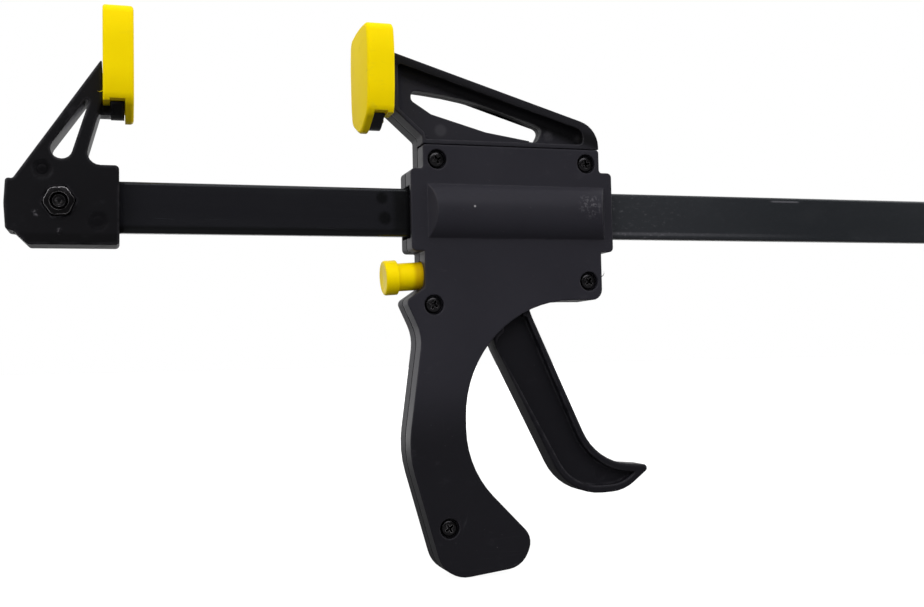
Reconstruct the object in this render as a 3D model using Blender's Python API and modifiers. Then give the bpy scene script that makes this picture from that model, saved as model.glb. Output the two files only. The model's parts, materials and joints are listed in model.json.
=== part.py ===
"""A one-handed quick release bar clamp: a steel bar with a fixed jaw, and a moving jaw with
a pistol grip, a squeeze trigger, a drive lever, a brake lever and a yellow release button.

The origin is the middle of the fixed pad's clamping face. +X runs along the bar towards the
moving jaw, +Y runs away from the side that carries the cover, and +Z runs up to the pads.
Heights in the outlines are above the bar's centre line. Lengths in metres."""
import math

import bmesh
import bpy
from mathutils import Matrix

# Fits and edges shared by every piece
fit_gap = 0.0003
running_gap = 0.0005
cut_overrun = 0.003
moulded_edge = 0.0010
seam_edge = 0.0004
small_round = 0.0012

# How finely the round stretches of an outline are divided
arc_tolerance = 0.00006
coarse_arc_step = math.radians(22.5)
sharp_angle = math.radians(35)
rounded_angle = math.radians(50)
arc_room_share = 0.98
large_radius = 0.005
turned_steps = 28
small_steps = 16

# The bar and the clamp's reach
bar_height = 0.0195
bar_thickness = 0.0055
bar_edge = 0.0007
opening_reach = 0.300
jaw_opening = 0.0873
jaw_reach = 0.0543
bar_tail = 0.0065
stop_pin_radius = 0.0015
stop_pin_length = 0.0155

# The soft pads and the head plates that they slip over
pad_thickness = 0.0110
pad_width = 0.0354
pad_height = 0.0450
pad_face_wall = 0.0031
pad_back_wall = 0.0024
pad_edge = 0.0009
neck_width = 0.0080
plate_thickness = pad_thickness - pad_face_wall - pad_back_wall - fit_gap - fit_gap
arm_back = pad_thickness + fit_gap
# Corners of half a pad: across, up, radius, as shares of half the width and half the height
pad_outline_shares = (
    (0.0, 0.93, 3.40),
    (0.82, 0.84, 0.28),
    (1.0, 0.34, 1.42),
    (0.83, -0.63, 0.51),
    (0.0, -1.045, 0.51),
)
pad_skirt_share = -0.698
pad_pocket_width = 0.0160
pad_pocket_top_share = 0.755
pad_pocket_round = 0.0020
pad_back_foot_share = -0.731

# The fixed jaw
jaw_thickness = 0.0160
fixed_nose = 0.0054
fixed_tail = 0.0424
fixed_block_height = 0.0297
fixed_arm_top = 0.0547
fixed_arm_knee = 0.0385
fixed_arm_root = 0.0181
fixed_shoulder = 0.0091
fixed_chamfer = 0.0050
fixed_root_round = 0.0046
fixed_block_round = 0.0015
fixed_neck_foot = 0.0344
fixed_neck_top = 0.0500
tail_boss_length = 0.0025
tail_boss_height = 0.0188
tail_boss_swell = 0.0006
tail_boss_wall = 0.0038
# Corners of the arm's triangular window: back from the arm's root, up from the block, radius
fixed_window_shares = ((-0.148, 0.705, 0.04), (0.613, 0.048, 0.195), (0.193, 0.048, 0.195))

# The bolt that fixes the jaw to the bar
bolt_place = 0.0265
bolt_rise = 0.0010
bolt_radius = 0.0028
bolt_head_radius = 0.0058
bolt_head_height = 0.0036
bolt_head_dome = 0.0012
nut_width = 0.0100
nut_height = 0.0050
nut_chamfer = 0.0006
nut_lean = math.radians(34)
nut_standing_share = 0.32
bolt_end_share = 0.80

# The case of the moving jaw, from the moving pad's clamping face
case_front = 0.0239
case_length = 0.0766
case_top = 0.0273
case_bottom = 0.0361
case_thickness = 0.0170
case_wall = 0.0020
case_heel_round = 0.0045
collar_front = 0.0052
collar_rear = 0.0055
front_collar_top = 0.0172
front_collar_bottom = 0.0161
rear_collar_top = 0.0174
rear_collar_bottom = 0.0160
collar_round = 0.0018
mouth_depth_share = 0.55
mouth_clearance = 0.0009
guide_clearance = 0.00035
case_rear = case_front + case_length
case_skin = case_thickness / 2 - case_wall

# The moving jaw's arm
arm_tip = 0.0640
arm_heel = 0.0366
arm_heel_round = 0.0110
arm_foot = 0.0416
arm_root = 0.0302
arm_rim = 0.0034
arm_foot_rim = 0.0016
arm_front_rim = 0.0029
arm_heel_rim = 0.0070
arm_web = 0.0070
arm_shelf = 0.0017
moving_neck_foot = 0.0405
moving_neck_top = 0.0620
# Corners of the long window: along from the case front, up from the seam, radius
arm_window_shares = (
    (-0.042, 0.616, 0.030),
    (0.363, 0.537, 2.150),
    (0.703, 0.240, 0.031),
    (0.664, 0.079, 0.029),
    (0.454, 0.101, 0.650),
    (0.148, 0.245, 0.390),
    (-0.044, 0.499, 0.029),
)

# The grip: along from the case front as shares of the case length, down from the case's
# bottom and radius as shares of the grip's drop
grip_drop = 0.1115
grip_outline_shares = (
    (0.2076, 0.0, 0.4215),
    (0.2076, 0.6045, 0.359),
    (0.5665, 0.864, 0.067),
    (0.504, 0.965, 0.090),
    (0.0785, 0.999, 0.108),
    (-0.107, 0.5372, 0.404),
    (-0.0209, 0.1247, 0.161),
    (-0.104, -0.001, 0.020),
    (0.0, -0.0493, 0.018),
)

# The screws that hold the cover: along from the case front, above the bar's centre line
screw_inset = 0.0059
upper_screw_height = 0.0210
rear_screw_height = -0.0283
front_screw_height = -0.0377
front_screw_inset = 0.0035
grip_screw_inset = 0.0081
grip_screw_share = 0.812
screw_head_radius = 0.0032
screw_head_height = 0.0021
screw_head_dome = 0.0009
screw_shank_radius = 0.0013
screw_point = 0.0016
screw_sink = 0.0004
recess_radius = 0.0041
cover_boss_radius = 0.0051
shell_boss_radius = 0.0037

# The springs round the bar and the bulge that covers them
wire_radius = 0.00055
coil_clearance = 0.0005
bulge_clearance = 0.0005
bulge_wall = 0.0016
bulge_slope = 0.0032
bulge_front = 0.0014
bulge_rear = 0.0018
brake_spring_turns = 5
drive_spring_turns = 8
coil_points = 12
coil_radius = math.hypot(bar_height / 2, bar_thickness / 2) + coil_clearance + wire_radius
hollow_radius = coil_radius + wire_radius + bulge_clearance
bulge_radius = hollow_radius + bulge_wall

# The levers, the wall between their springs and the trigger
lever_thickness = 0.0030
lever_width = 0.0110
lever_top = 0.0142
lever_hole_clearance = 0.00045
lever_corner = 0.0015
brake_lever_place = 0.0082
brake_lever_foot = 0.0302
brake_lean = math.radians(4)
brake_stop_height = 0.0022
drive_lever_foot = 0.0215
spring_wall_place = 0.0340
spring_wall_thickness = 0.0040
trigger_thickness = 0.0120
trigger_web = 0.0048
trigger_rim = 0.0031
trigger_edge = 0.0009
trigger_reach = 0.0868
nose_width = 0.0040
nose_height = 0.0154
nose_lead = 0.0022
nose_round = 0.0012
pivot_drop = 0.0310
pivot_radius = 0.0020
pivot_seat = 0.0011
# The trigger's corners round its pivot, and its pocket's upper corners, as shares of its reach
trigger_shoulder_shares = ((0.030, 0.081, 0.030), (0.1025, 0.017, 0.046))
trigger_grip_shares = (
    (0.100, -0.092, 0.23),
    (0.431, -0.835, 0.276),
    (0.726, -0.862, 0.0185),
    (0.575, -0.980, 0.207),
    (0.285, -0.990, 0.265),
    (-0.082, -0.242, 0.23),
    (-0.083, 0.035, 0.081),
)
trigger_pocket_shares = ((0.088, -0.125, 0.012), (-0.078, -0.245, 0.05))
trigger_slot_shares = ((0.12, 0.035), (0.12, -0.334), (-0.0876, -0.3675), (-0.237, -0.281),
                       (-0.237, 0.035))

# The release button
button_height = -0.0256
button_droop = math.radians(3.4)
button_radius = 0.00565
button_cap_radius = 0.0070
button_cap_length = 0.0053
button_stand = 0.0153
button_catch_radius = 0.0063
button_edge = 0.0008

# Places along the clamp that follow from the sizes above
spring_wall_front = case_front + spring_wall_place
drive_lever_front = spring_wall_front + spring_wall_thickness + fit_gap
brake_lever_front = case_front + brake_lever_place
pivot_place = drive_lever_front - fit_gap - nose_lead
stop_pin_place = opening_reach + case_rear + collar_rear + stop_pin_radius + fit_gap
bar_start = -fixed_tail + tail_boss_length - tail_boss_wall + small_round
bar_end = stop_pin_place + stop_pin_radius + bar_tail

# Which way a flat outline stands: in X and Z, in Y and Z, or in X and Y
upright = Matrix(((1, 0, 0, 0), (0, 0, 1, 0), (0, 1, 0, 0), (0, 0, 0, 1)))
facing = Matrix(((0, 0, 1, 0), (1, 0, 0, 0), (0, 1, 0, 0), (0, 0, 0, 1)))
level = Matrix.Identity(4)


def clear_scene():
    for piece in list(bpy.data.objects):
        bpy.data.objects.remove(piece, do_unlink=True)


clear_scene()
parts = bpy.data.collections.new("quick_release_clamp")
cutters = bpy.data.collections.new("cutters")
for collection in (parts, cutters):
    bpy.context.scene.collection.children.link(collection)


def make_material(name, colour, roughness, metallic):
    material = bpy.data.materials.new(name)
    material.use_nodes = True
    shader = material.node_tree.nodes["Principled BSDF"]
    shader.inputs["Base Color"].default_value = (*colour, 1)
    shader.inputs["Roughness"].default_value = roughness
    shader.inputs["Metallic"].default_value = metallic
    material.diffuse_color = (*colour, 1)
    return material


black_nylon = make_material("black_nylon", (0.020, 0.020, 0.024), 0.55, 0.0)
yellow_rubber = make_material("yellow_rubber", (0.90, 0.72, 0.01), 0.50, 0.0)
black_steel = make_material("black_painted_steel", (0.015, 0.015, 0.017), 0.28, 0.0)
dark_zinc = make_material("blackened_fastener", (0.05, 0.05, 0.055), 0.35, 0.9)
spring_steel = make_material("spring_steel", (0.35, 0.35, 0.36), 0.30, 1.0)
hardened_plate = make_material("hardened_plate", (0.22, 0.22, 0.23), 0.38, 1.0)


# Two frames on the bar's centre line: below the fixed pad's face and below the moving pad's
def make_frame(name, along):
    frame = bpy.data.objects.new(name, None)
    frame.empty_display_size = bar_height
    frame.location = (along, 0, -jaw_reach)
    parts.objects.link(frame)
    return frame


fixed_frame = make_frame("fixed_jaw_frame", 0)
moving_frame = make_frame("moving_jaw_frame", jaw_opening)


# Outlines
def turn_at(before, corner, after):
    """The two unit directions at a corner and the signed angle turned between them."""
    into = (corner[0] - before[0], corner[1] - before[1])
    out = (after[0] - corner[0], after[1] - corner[1])
    into_length = math.hypot(*into)
    out_length = math.hypot(*out)
    into = (into[0] / into_length, into[1] / into_length)
    out = (out[0] / out_length, out[1] / out_length)
    turned = math.atan2(into[0] * out[1] - into[1] * out[0], into[0] * out[0] + into[1] * out[1])
    return into, out, turned


def arc_reaches(corners):
    """How far each corner's arc runs along its sides; two arcs that would meet share the side."""
    wanted = []
    for index, corner in enumerate(corners):
        after = corners[(index + 1) % len(corners)]
        turned = abs(turn_at(corners[index - 1], corner, after)[2])
        flat = corner[2] <= 0 or turned < coarse_arc_step / 8
        wanted.append(0 if flat else corner[2] * math.tan(turned / 2))
    reaches = list(wanted)
    for index, corner in enumerate(corners):
        side = math.dist(corners[index - 1][:2], corner[:2]) * arc_room_share
        both = wanted[index - 1] + wanted[index]
        if both > side:
            reaches[index - 1] = min(reaches[index - 1], wanted[index - 1] * side / both)
            reaches[index] = min(reaches[index], wanted[index] * side / both)
    return reaches


def rounded(corners):
    """A closed outline from corners (across, up, radius), each rounded by an arc."""
    points = []
    reaches = arc_reaches(corners)
    count = len(corners)
    for index, corner in enumerate(corners):
        before = corners[index - 1]
        after = corners[(index + 1) % count]
        into, out, turned = turn_at(before, corner, after)
        setback = reaches[index]
        if setback <= 0:
            points.append((corner[0], corner[1]))
            continue
        radius = setback / math.tan(abs(turned) / 2)
        side = math.copysign(1, turned)
        start = (corner[0] - into[0] * setback, corner[1] - into[1] * setback)
        centre = (start[0] - side * into[1] * radius, start[1] + side * into[0] * radius)
        step = min(coarse_arc_step, 2 * math.acos(1 - arc_tolerance / max(radius, seam_edge)))
        steps = max(2, math.ceil(abs(turned) / step))
        first = math.atan2(start[1] - centre[1], start[0] - centre[0])
        for number in range(steps + 1):
            angle = first + turned * number / steps
            points.append((centre[0] + radius * math.cos(angle),
                           centre[1] + radius * math.sin(angle)))
    return points


def inset(corners, distance):
    """The same corners moved inwards by one distance; the outline runs counter-clockwise."""
    moved = []
    count = len(corners)
    for index, corner in enumerate(corners):
        into, out, turned = turn_at(corners[index - 1], corner, corners[(index + 1) % count])
        bisect = (-into[1] - out[1], into[0] + out[0])
        length = math.hypot(*bisect)
        reach = distance / math.cos(turned / 2)
        radius = corner[2] - math.copysign(distance, turned)
        moved.append((corner[0] + bisect[0] / length * reach,
                      corner[1] + bisect[1] / length * reach, max(radius, seam_edge)))
    return moved


def stretch(outline, height, side):
    """The run of a closed outline above a height (side 1) or below it (side -1)."""
    count = len(outline)
    start = next(index for index in range(count)
                 if side * (outline[index - 1][1] - height) <= 0
                 < side * (outline[index][1] - height))
    run = [outline[start - 1], outline[start]]
    while side * (run[-1][1] - height) > 0:
        run.append(outline[(start + len(run) - 1) % count])
    for end, inner in ((0, 1), (-1, -2)):
        share = (height - run[end][1]) / (run[inner][1] - run[end][1])
        run[end] = (run[end][0] + (run[inner][0] - run[end][0]) * share, height)
    return run


# Solids
def put(name, data, collection, frame, place):
    piece = bpy.data.objects.new(name, data)
    piece.parent = frame
    piece.location = place
    collection.objects.link(piece)
    if collection is cutters:
        piece.hide_render = True
        piece.display_type = "WIRE"
    return piece


def finish_mesh(mesh):
    """Welds the mesh, joins flat faces into one and turns every face outwards."""
    shape = bmesh.new()
    shape.from_mesh(mesh)
    bmesh.ops.remove_doubles(shape, verts=shape.verts, dist=fit_gap / 100)
    bmesh.ops.dissolve_degenerate(shape, dist=fit_gap / 100, edges=shape.edges)
    bmesh.ops.dissolve_limit(shape, angle_limit=coarse_arc_step / 100, verts=shape.verts,
                             edges=shape.edges)
    bmesh.ops.recalc_face_normals(shape, faces=shape.faces)
    shape.to_mesh(mesh)
    shape.free()


def outline_mesh(name, outline, low, high, stance):
    """A flat outline as a filled 2D curve that reaches from low to high, made a mesh."""
    curve = bpy.data.curves.new(name, "CURVE")
    curve.dimensions = "2D"
    curve.fill_mode = "BOTH"
    curve.extrude = (high - low) / 2
    spline = curve.splines.new("POLY")
    spline.points.add(len(outline) - 1)
    for point, (across, up) in zip(spline.points, outline):
        point.co = (across, up, 0, 1)
    spline.use_cyclic_u = True
    drawn = bpy.data.objects.new(name, curve)
    drawn.matrix_world = stance @ Matrix.Translation((0, 0, (low + high) / 2))
    parts.objects.link(drawn)
    bpy.context.view_layer.update()
    seen = drawn.evaluated_get(bpy.context.evaluated_depsgraph_get())
    mesh = bpy.data.meshes.new_from_object(seen)
    mesh.transform(drawn.matrix_world)
    bpy.data.objects.remove(drawn, do_unlink=True)
    bpy.data.curves.remove(curve)
    finish_mesh(mesh)
    mesh.name = name
    return mesh


def box_mesh(name, low, high):
    """A box between two opposite corners."""
    shape = bmesh.new()
    size = [high[axis] - low[axis] for axis in range(3)]
    middle = [(high[axis] + low[axis]) / 2 for axis in range(3)]
    place = Matrix.Translation(middle) @ Matrix.Diagonal((*size, 1))
    bmesh.ops.create_cube(shape, size=1, matrix=place)
    mesh = bpy.data.meshes.new(name)
    shape.to_mesh(mesh)
    shape.free()
    return mesh


def rod_mesh(name, radius, start, end, axis, sides=0, lean=0):
    """A straight round or many-sided bar between two points that differ along one axis."""
    sides = sides or (turned_steps if radius > large_radius else small_steps)
    length = end[axis] - start[axis]
    middle = [(start[index] + end[index]) / 2 for index in range(3)]
    turns = (Matrix.Rotation(math.pi / 2, 4, "Y"), Matrix.Rotation(math.pi / 2, 4, "X"), level)
    shape = bmesh.new()
    bmesh.ops.create_cone(shape, cap_ends=True, cap_tris=False, segments=sides, radius1=radius,
                          radius2=radius, depth=abs(length),
                          matrix=Matrix.Translation(middle) @ turns[axis]
                          @ Matrix.Rotation(lean, 4, "Z"))
    mesh = bpy.data.meshes.new(name)
    shape.to_mesh(mesh)
    shape.free()
    return mesh


def turned_piece(name, profile, collection, frame, place, rotation, material=None):
    """A profile (radius, height), listed from the top down, turned about its own Z."""
    widest = max(radius for radius, height in profile)
    steps = turned_steps if widest > large_radius else small_steps
    mesh = bpy.data.meshes.new(name)
    mesh.from_pydata([(radius, 0, height) for radius, height in profile],
                     [(index, index + 1) for index in range(len(profile) - 1)], [])
    piece = put(name, mesh, collection, frame, place)
    piece.rotation_euler = rotation
    screw = piece.modifiers.new("turn", "SCREW")
    screw.steps = steps
    screw.render_steps = steps
    screw.use_merge_vertices = True
    screw.merge_threshold = fit_gap / 100
    if material:
        mesh.materials.append(material)
    return piece


def shade_round(piece):
    piece.data.shade_smooth()
    piece.data.set_sharp_from_angle(angle=sharp_angle)


def add_part(name, mesh, frame, place, material):
    piece = put(name, mesh, parts, frame, place)
    mesh.materials.clear()
    mesh.materials.append(material)
    return piece


def round_edges(piece, width, segments=2):
    bevel = piece.modifiers.new("edges", "BEVEL")
    bevel.width = width
    bevel.segments = segments
    bevel.limit_method = "ANGLE"
    bevel.angle_limit = rounded_angle
    return bevel


def round_rims(piece, rims, segments=2):
    """Rounds the rims of an upright solid: each rim is (height along Y, width)."""
    widest = max(width for side, width in rims)
    shape = bmesh.new()
    shape.from_mesh(piece.data)
    weight = shape.edges.layers.float.new("bevel_weight_edge")
    for edge in shape.edges:
        if len(edge.link_faces) != 2 or edge.calc_face_angle() < coarse_arc_step * 2:
            continue
        for side, width in rims:
            if all(abs(vert.co.y - side) < fit_gap / 10 for vert in edge.verts):
                edge[weight] = width / widest
    shape.to_mesh(piece.data)
    shape.free()
    bevel = piece.modifiers.new("rims", "BEVEL")
    bevel.width = widest
    bevel.segments = segments
    bevel.limit_method = "WEIGHT"


def combine(piece, other, operation):
    boolean = piece.modifiers.new(other.name, "BOOLEAN")
    boolean.operation = operation
    boolean.object = other
    boolean.solver = "EXACT"


def cut(piece, name, mesh, frame, place=(0, 0, 0)):
    cutter = put(f"{piece.name}_{name}", mesh, cutters, frame, place)
    combine(piece, cutter, "DIFFERENCE")
    return cutter


def join(piece, name, mesh, frame, place=(0, 0, 0)):
    addition = put(f"{piece.name}_{name}", mesh, cutters, frame, place)
    combine(piece, addition, "UNION")
    return addition


def cut_both_sides(piece, name, outline, web, half, frame):
    """The same recess in both faces of an upright solid, leaving a web between them."""
    outside = half + cut_overrun
    cut(piece, f"{name}_near", outline_mesh(name, outline, -outside, -web / 2, upright), frame)
    cut(piece, f"{name}_far", outline_mesh(name, outline, web / 2, outside, upright), frame)


# The soft pad, its outline and the head plate inside it
def pad_corners():
    half = [(across * pad_width / 2, up * pad_height / 2, radius * pad_width / 2)
            for across, up, radius in pad_outline_shares]
    mirrored = [(-across, up, radius) for across, up, radius in half[1:-1]]
    return [half[0]] + mirrored + half[:0:-1]


def pocket_sides(foot, gap):
    """Up one straight side, over the top and down the other, so that a pad can slip off."""
    half = pad_pocket_width / 2 - gap
    top = pad_pocket_top_share * pad_height / 2 - gap
    return rounded([(half, foot, 0), (half, top, pad_pocket_round),
                    (-half, top, pad_pocket_round), (-half, foot, 0)])


def pocket_outline():
    """The pocket inside the pad's walls, opening to the full width below their foot."""
    skirt = pad_skirt_share * pad_height / 2
    below = -pad_height
    return pocket_sides(skirt, 0) + [(-pad_width, skirt), (-pad_width, below),
                                     (pad_width, below), (pad_width, skirt)]


def plate_outline():
    """Inside the pocket down to the walls' foot, then as wide as the pad, which rests on it."""
    foot = pad_skirt_share * pad_height / 2 - fit_gap
    lower = stretch(rounded(inset(pad_corners(), pad_edge)), foot, -1)
    return pocket_sides(foot, fit_gap) + lower


def make_pad(name, frame, turned):
    """A cap of soft plastic, open below, that slips down over a head plate."""
    body = outline_mesh(name, rounded(pad_corners()), -pad_thickness, 0, facing)
    pad = add_part(name, body, frame, (0, 0, jaw_reach), yellow_rubber)
    pad.rotation_euler = (0, 0, turned)
    round_edges(pad, pad_edge)
    pocket_front = -pad_face_wall
    pocket_back = -pad_thickness + pad_back_wall
    below = -pad_height
    cut(pad, "pocket", outline_mesh("pocket", pocket_outline(), pocket_back, pocket_front, facing),
        pad)
    back_foot = pad_back_foot_share * pad_height / 2
    cut(pad, "mouth", box_mesh("mouth", (-pad_thickness - cut_overrun, -pad_width, below),
                               (pocket_back + fit_gap, pad_width, back_foot)), pad)
    half_slot = neck_width / 2 + fit_gap
    slot_top = max(fixed_neck_top, moving_neck_top) - jaw_reach + fit_gap
    cut(pad, "slot", box_mesh("slot", (-pad_thickness - cut_overrun, -half_slot, below),
                              (pocket_back + fit_gap, half_slot, slot_top)), pad)


def add_head_plate(jaw, frame, side, foot, top):
    """The plate and its neck; side is -1 behind the fixed pad's face and 1 behind the other."""
    face = side * (pad_face_wall + fit_gap)
    back = face + side * plate_thickness
    plate = outline_mesh("plate", plate_outline(), min(face, back), max(face, back), facing)
    join(jaw, "plate", plate, frame, (0, 0, jaw_reach))
    ends = sorted((face + side * plate_thickness / 2, side * (arm_back + small_round)))
    neck = box_mesh("neck", (ends[0], -neck_width / 2, foot), (ends[1], neck_width / 2, top))
    join(jaw, "neck", neck, frame)


# The bar with its end stop
def make_bar():
    mesh = box_mesh("slide_bar", (bar_start, -bar_thickness / 2, -bar_height / 2),
                    (bar_end, bar_thickness / 2, bar_height / 2))
    bar = add_part("slide_bar", mesh, fixed_frame, (0, 0, 0), black_steel)
    round_edges(bar, bar_edge)
    reach = bar_thickness
    cut(bar, "bolt_hole", rod_mesh("hole", bolt_radius + fit_gap, (bolt_x, -reach, bolt_rise),
                                   (bolt_x, reach, bolt_rise), 1), fixed_frame)
    cut(bar, "stop_hole", rod_mesh("hole", stop_pin_radius + fit_gap, (stop_pin_place, -reach, 0),
                                   (stop_pin_place, reach, 0), 1), fixed_frame)


def make_stop_pin():
    half = stop_pin_length / 2
    mesh = rod_mesh("bar_stop_pin", stop_pin_radius, (0, -half, 0), (0, half, 0), 1)
    pin = add_part("bar_stop_pin", mesh, fixed_frame, (stop_pin_place, 0, 0), dark_zinc)
    round_edges(pin, stop_pin_radius / 4)
    shade_round(pin)


# The fixed jaw with its bolt and nut
bolt_x = -bolt_place
fixed_half = fixed_block_height / 2


def fixed_jaw_corners():
    boss_half = tail_boss_height / 2
    boss_end = -fixed_tail - tail_boss_length
    slope_foot = -fixed_tail
    return [
        (-arm_back, fixed_arm_top, seam_edge),
        (slope_foot, fixed_shoulder, small_round),
        (boss_end, boss_half, small_round),
        (boss_end - tail_boss_swell, 0, bar_height),
        (boss_end, -boss_half, small_round),
        (-fixed_tail, -boss_half - seam_edge, seam_edge),
        (-fixed_tail + fixed_chamfer, -fixed_half, fixed_block_round),
        (-fixed_nose, -fixed_half, fixed_block_round),
        (-fixed_nose, fixed_half, fixed_block_round),
        (-fixed_arm_root, fixed_half, fixed_root_round),
        (-arm_back, fixed_arm_knee, small_round),
    ]


def make_fixed_jaw():
    half = jaw_thickness / 2
    mesh = outline_mesh("fixed_jaw", rounded(fixed_jaw_corners()), -half, half, upright)
    jaw = add_part("fixed_jaw", mesh, fixed_frame, (0, 0, 0), black_nylon)
    round_rims(jaw, ((-half, moulded_edge), (half, moulded_edge)))
    run = fixed_tail - fixed_arm_root
    rise = fixed_arm_top - fixed_half
    window = [(-fixed_arm_root - back * run, fixed_half + up * rise, radius * bar_height)
              for back, up, radius in fixed_window_shares]
    cut(jaw, "window", outline_mesh("window", rounded(window), -jaw_thickness, jaw_thickness,
                                    upright), fixed_frame)
    add_head_plate(jaw, fixed_frame, -1, fixed_neck_foot, fixed_neck_top)
    slot_half_width = bar_thickness / 2 + fit_gap
    slot_half_height = bar_height / 2 + fit_gap
    cut(jaw, "bar_slot", box_mesh("slot", (bar_start - fit_gap, -slot_half_width, -slot_half_height),
                                  (cut_overrun, slot_half_width, slot_half_height)), fixed_frame)
    cut(jaw, "bolt_hole", rod_mesh("hole", bolt_radius + fit_gap,
                                   (bolt_x, -jaw_thickness, bolt_rise),
                                   (bolt_x, jaw_thickness, bolt_rise), 1), fixed_frame)
    pocket_floor = -half + nut_height * (1 - nut_standing_share)
    pocket = rod_mesh("pocket", (nut_width / 2 + fit_gap) / math.cos(math.pi / 6),
                      (bolt_x, -jaw_thickness, bolt_rise), (bolt_x, pocket_floor, bolt_rise), 1, 6,
                      nut_lean)
    cut(jaw, "nut_pocket", pocket, fixed_frame)
    cut(jaw, "head_recess", rod_mesh("recess", bolt_head_radius + fit_gap,
                                     (bolt_x, half - bolt_head_height, bolt_rise),
                                     (bolt_x, jaw_thickness, bolt_rise), 1), fixed_frame)


def make_bolt():
    half = jaw_thickness / 2
    seat = half - bolt_head_height + fit_gap
    crown = seat + bolt_head_height
    nut_face = -half - nut_height * nut_standing_share
    tip = nut_face + nut_height * (1 - bolt_end_share)
    profile = [(0, crown), (bolt_head_radius / 2, crown - bolt_head_dome / 4),
               (bolt_head_radius - bolt_head_dome / 2, crown - bolt_head_dome / 2),
               (bolt_head_radius, crown - bolt_head_dome), (bolt_head_radius, seat),
               (bolt_radius, seat), (bolt_radius, tip + bolt_radius / 4),
               (bolt_radius - bolt_radius / 4, tip), (0, tip)]
    bolt = turned_piece("jaw_bolt", profile, parts, fixed_frame, (bolt_x, 0, bolt_rise),
                        (-math.pi / 2, 0, 0), dark_zinc)
    shade_round(bolt)


def make_nut():
    half = jaw_thickness / 2
    face = -half - nut_height * nut_standing_share
    mesh = rod_mesh("jaw_nut", nut_width / 2 / math.cos(math.pi / 6),
                    (0, face, 0), (0, face + nut_height - fit_gap, 0), 1, 6, nut_lean)
    nut = add_part("jaw_nut", mesh, fixed_frame, (bolt_x, 0, bolt_rise), dark_zinc)
    round_edges(nut, nut_chamfer, 1)
    cut(nut, "bore", rod_mesh("bore", bolt_radius + fit_gap, (0, -jaw_thickness, 0),
                              (0, 0, 0), 1), nut)


# The moving jaw's outlines, counter-clockwise seen from the cover side
def grip_corners():
    """From the case's rear lower corner, round the grip, to the wall below the button."""
    corners = [(case_rear, -case_bottom, case_heel_round)]
    for along, down, radius in grip_outline_shares:
        corners.append((case_front + along * case_length, -case_bottom - down * grip_drop,
                        radius * grip_drop))
    return corners


def rear_collar_corners():
    end = case_rear + collar_rear
    return [(case_rear, rear_collar_top, small_round), (end, rear_collar_top, collar_round),
            (end, -rear_collar_bottom, collar_round), (case_rear, -rear_collar_bottom, seam_edge)]


def front_collar_corners():
    end = case_front - collar_front
    return [(case_front, -front_collar_bottom, seam_edge), (end, -front_collar_bottom, collar_round),
            (end, front_collar_top, collar_round), (case_front, front_collar_top, small_round)]


def cover_corners():
    clockwise = [(case_rear, case_top - fit_gap, small_round)] + rear_collar_corners()
    clockwise += grip_corners() + front_collar_corners()
    clockwise += [(case_front, case_top - fit_gap, small_round)]
    return clockwise[::-1]


def body_corners():
    clockwise = [(arm_back, arm_tip, seam_edge), (case_rear, arm_heel, arm_heel_round)]
    clockwise += rear_collar_corners() + grip_corners() + front_collar_corners()
    clockwise += [(case_front, arm_root, case_wall), (arm_back, arm_foot, small_round)]
    return clockwise[::-1]


def cavity_corners():
    clockwise = [(case_front, case_top, small_round), (case_rear, case_top, small_round)]
    clockwise += grip_corners()
    return inset(clockwise[::-1], case_wall)


def arm_recess_corners():
    slope = (arm_heel - arm_tip) / (case_rear - arm_back)
    drop = arm_rim * math.hypot(1, slope)
    front = arm_back + arm_front_rim
    rear = case_rear - arm_heel_rim
    top_front = arm_tip + slope * (front - arm_back) - drop
    top_rear = arm_tip + slope * (rear - arm_back) - drop
    fall = (arm_root - arm_foot) / (case_front - arm_back)
    rise = arm_foot_rim * math.hypot(1, fall)
    inner_front = case_front + arm_foot_rim / 2
    floor = case_top + arm_shelf
    foot_front = arm_foot + fall * (front - arm_back) + rise
    foot_rear = arm_foot + fall * (inner_front - arm_back) + rise
    return [(rear, top_rear, arm_rim), (front, top_front, small_round),
            (front, foot_front, small_round), (inner_front, foot_rear, small_round),
            (inner_front, floor, small_round), (rear, floor, case_wall)]


def arm_window_corners():
    rise = arm_tip - case_top
    return [(case_front + along * case_length, case_top + up * rise, radius * case_length)
            for along, up, radius in arm_window_shares[::-1]]


def screw_places():
    """Where the cover's screws stand: name, along and up."""
    grip_x = case_front + grip_screw_inset
    grip_z = -case_bottom - grip_screw_share * grip_drop
    return [("1", case_front + screw_inset, upper_screw_height),
            ("2", case_rear - screw_inset, upper_screw_height),
            ("3", case_rear - screw_inset, rear_screw_height),
            ("4", case_front + front_screw_inset, front_screw_height),
            ("5", grip_x, grip_z)]


def add_bulge(piece):
    """The half-round boss over the bar, with a sloping face at each end."""
    front = case_front + bulge_front
    rear = case_rear + bulge_rear
    half = case_thickness / 2 - seam_edge
    plan = [(front, -half), (front + bulge_slope, -bulge_radius), (rear - bulge_slope, -bulge_radius),
            (rear, -half), (rear, half), (rear - bulge_slope, bulge_radius),
            (front + bulge_slope, bulge_radius), (front, half)]
    sides = outline_mesh("bulge_plan", plan, -case_bottom, case_bottom, level)
    limit = put(f"{piece.name}_bulge_plan", sides, cutters, moving_frame, (0, 0, 0))
    rod = rod_mesh("bulge", bulge_radius, (front, 0, 0), (rear, 0, 0), 0, 2 * turned_steps)
    bulge = put(f"{piece.name}_bulge", rod, cutters, moving_frame, (0, 0, 0))
    combine(bulge, limit, "INTERSECT")
    combine(piece, bulge, "UNION")


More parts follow.
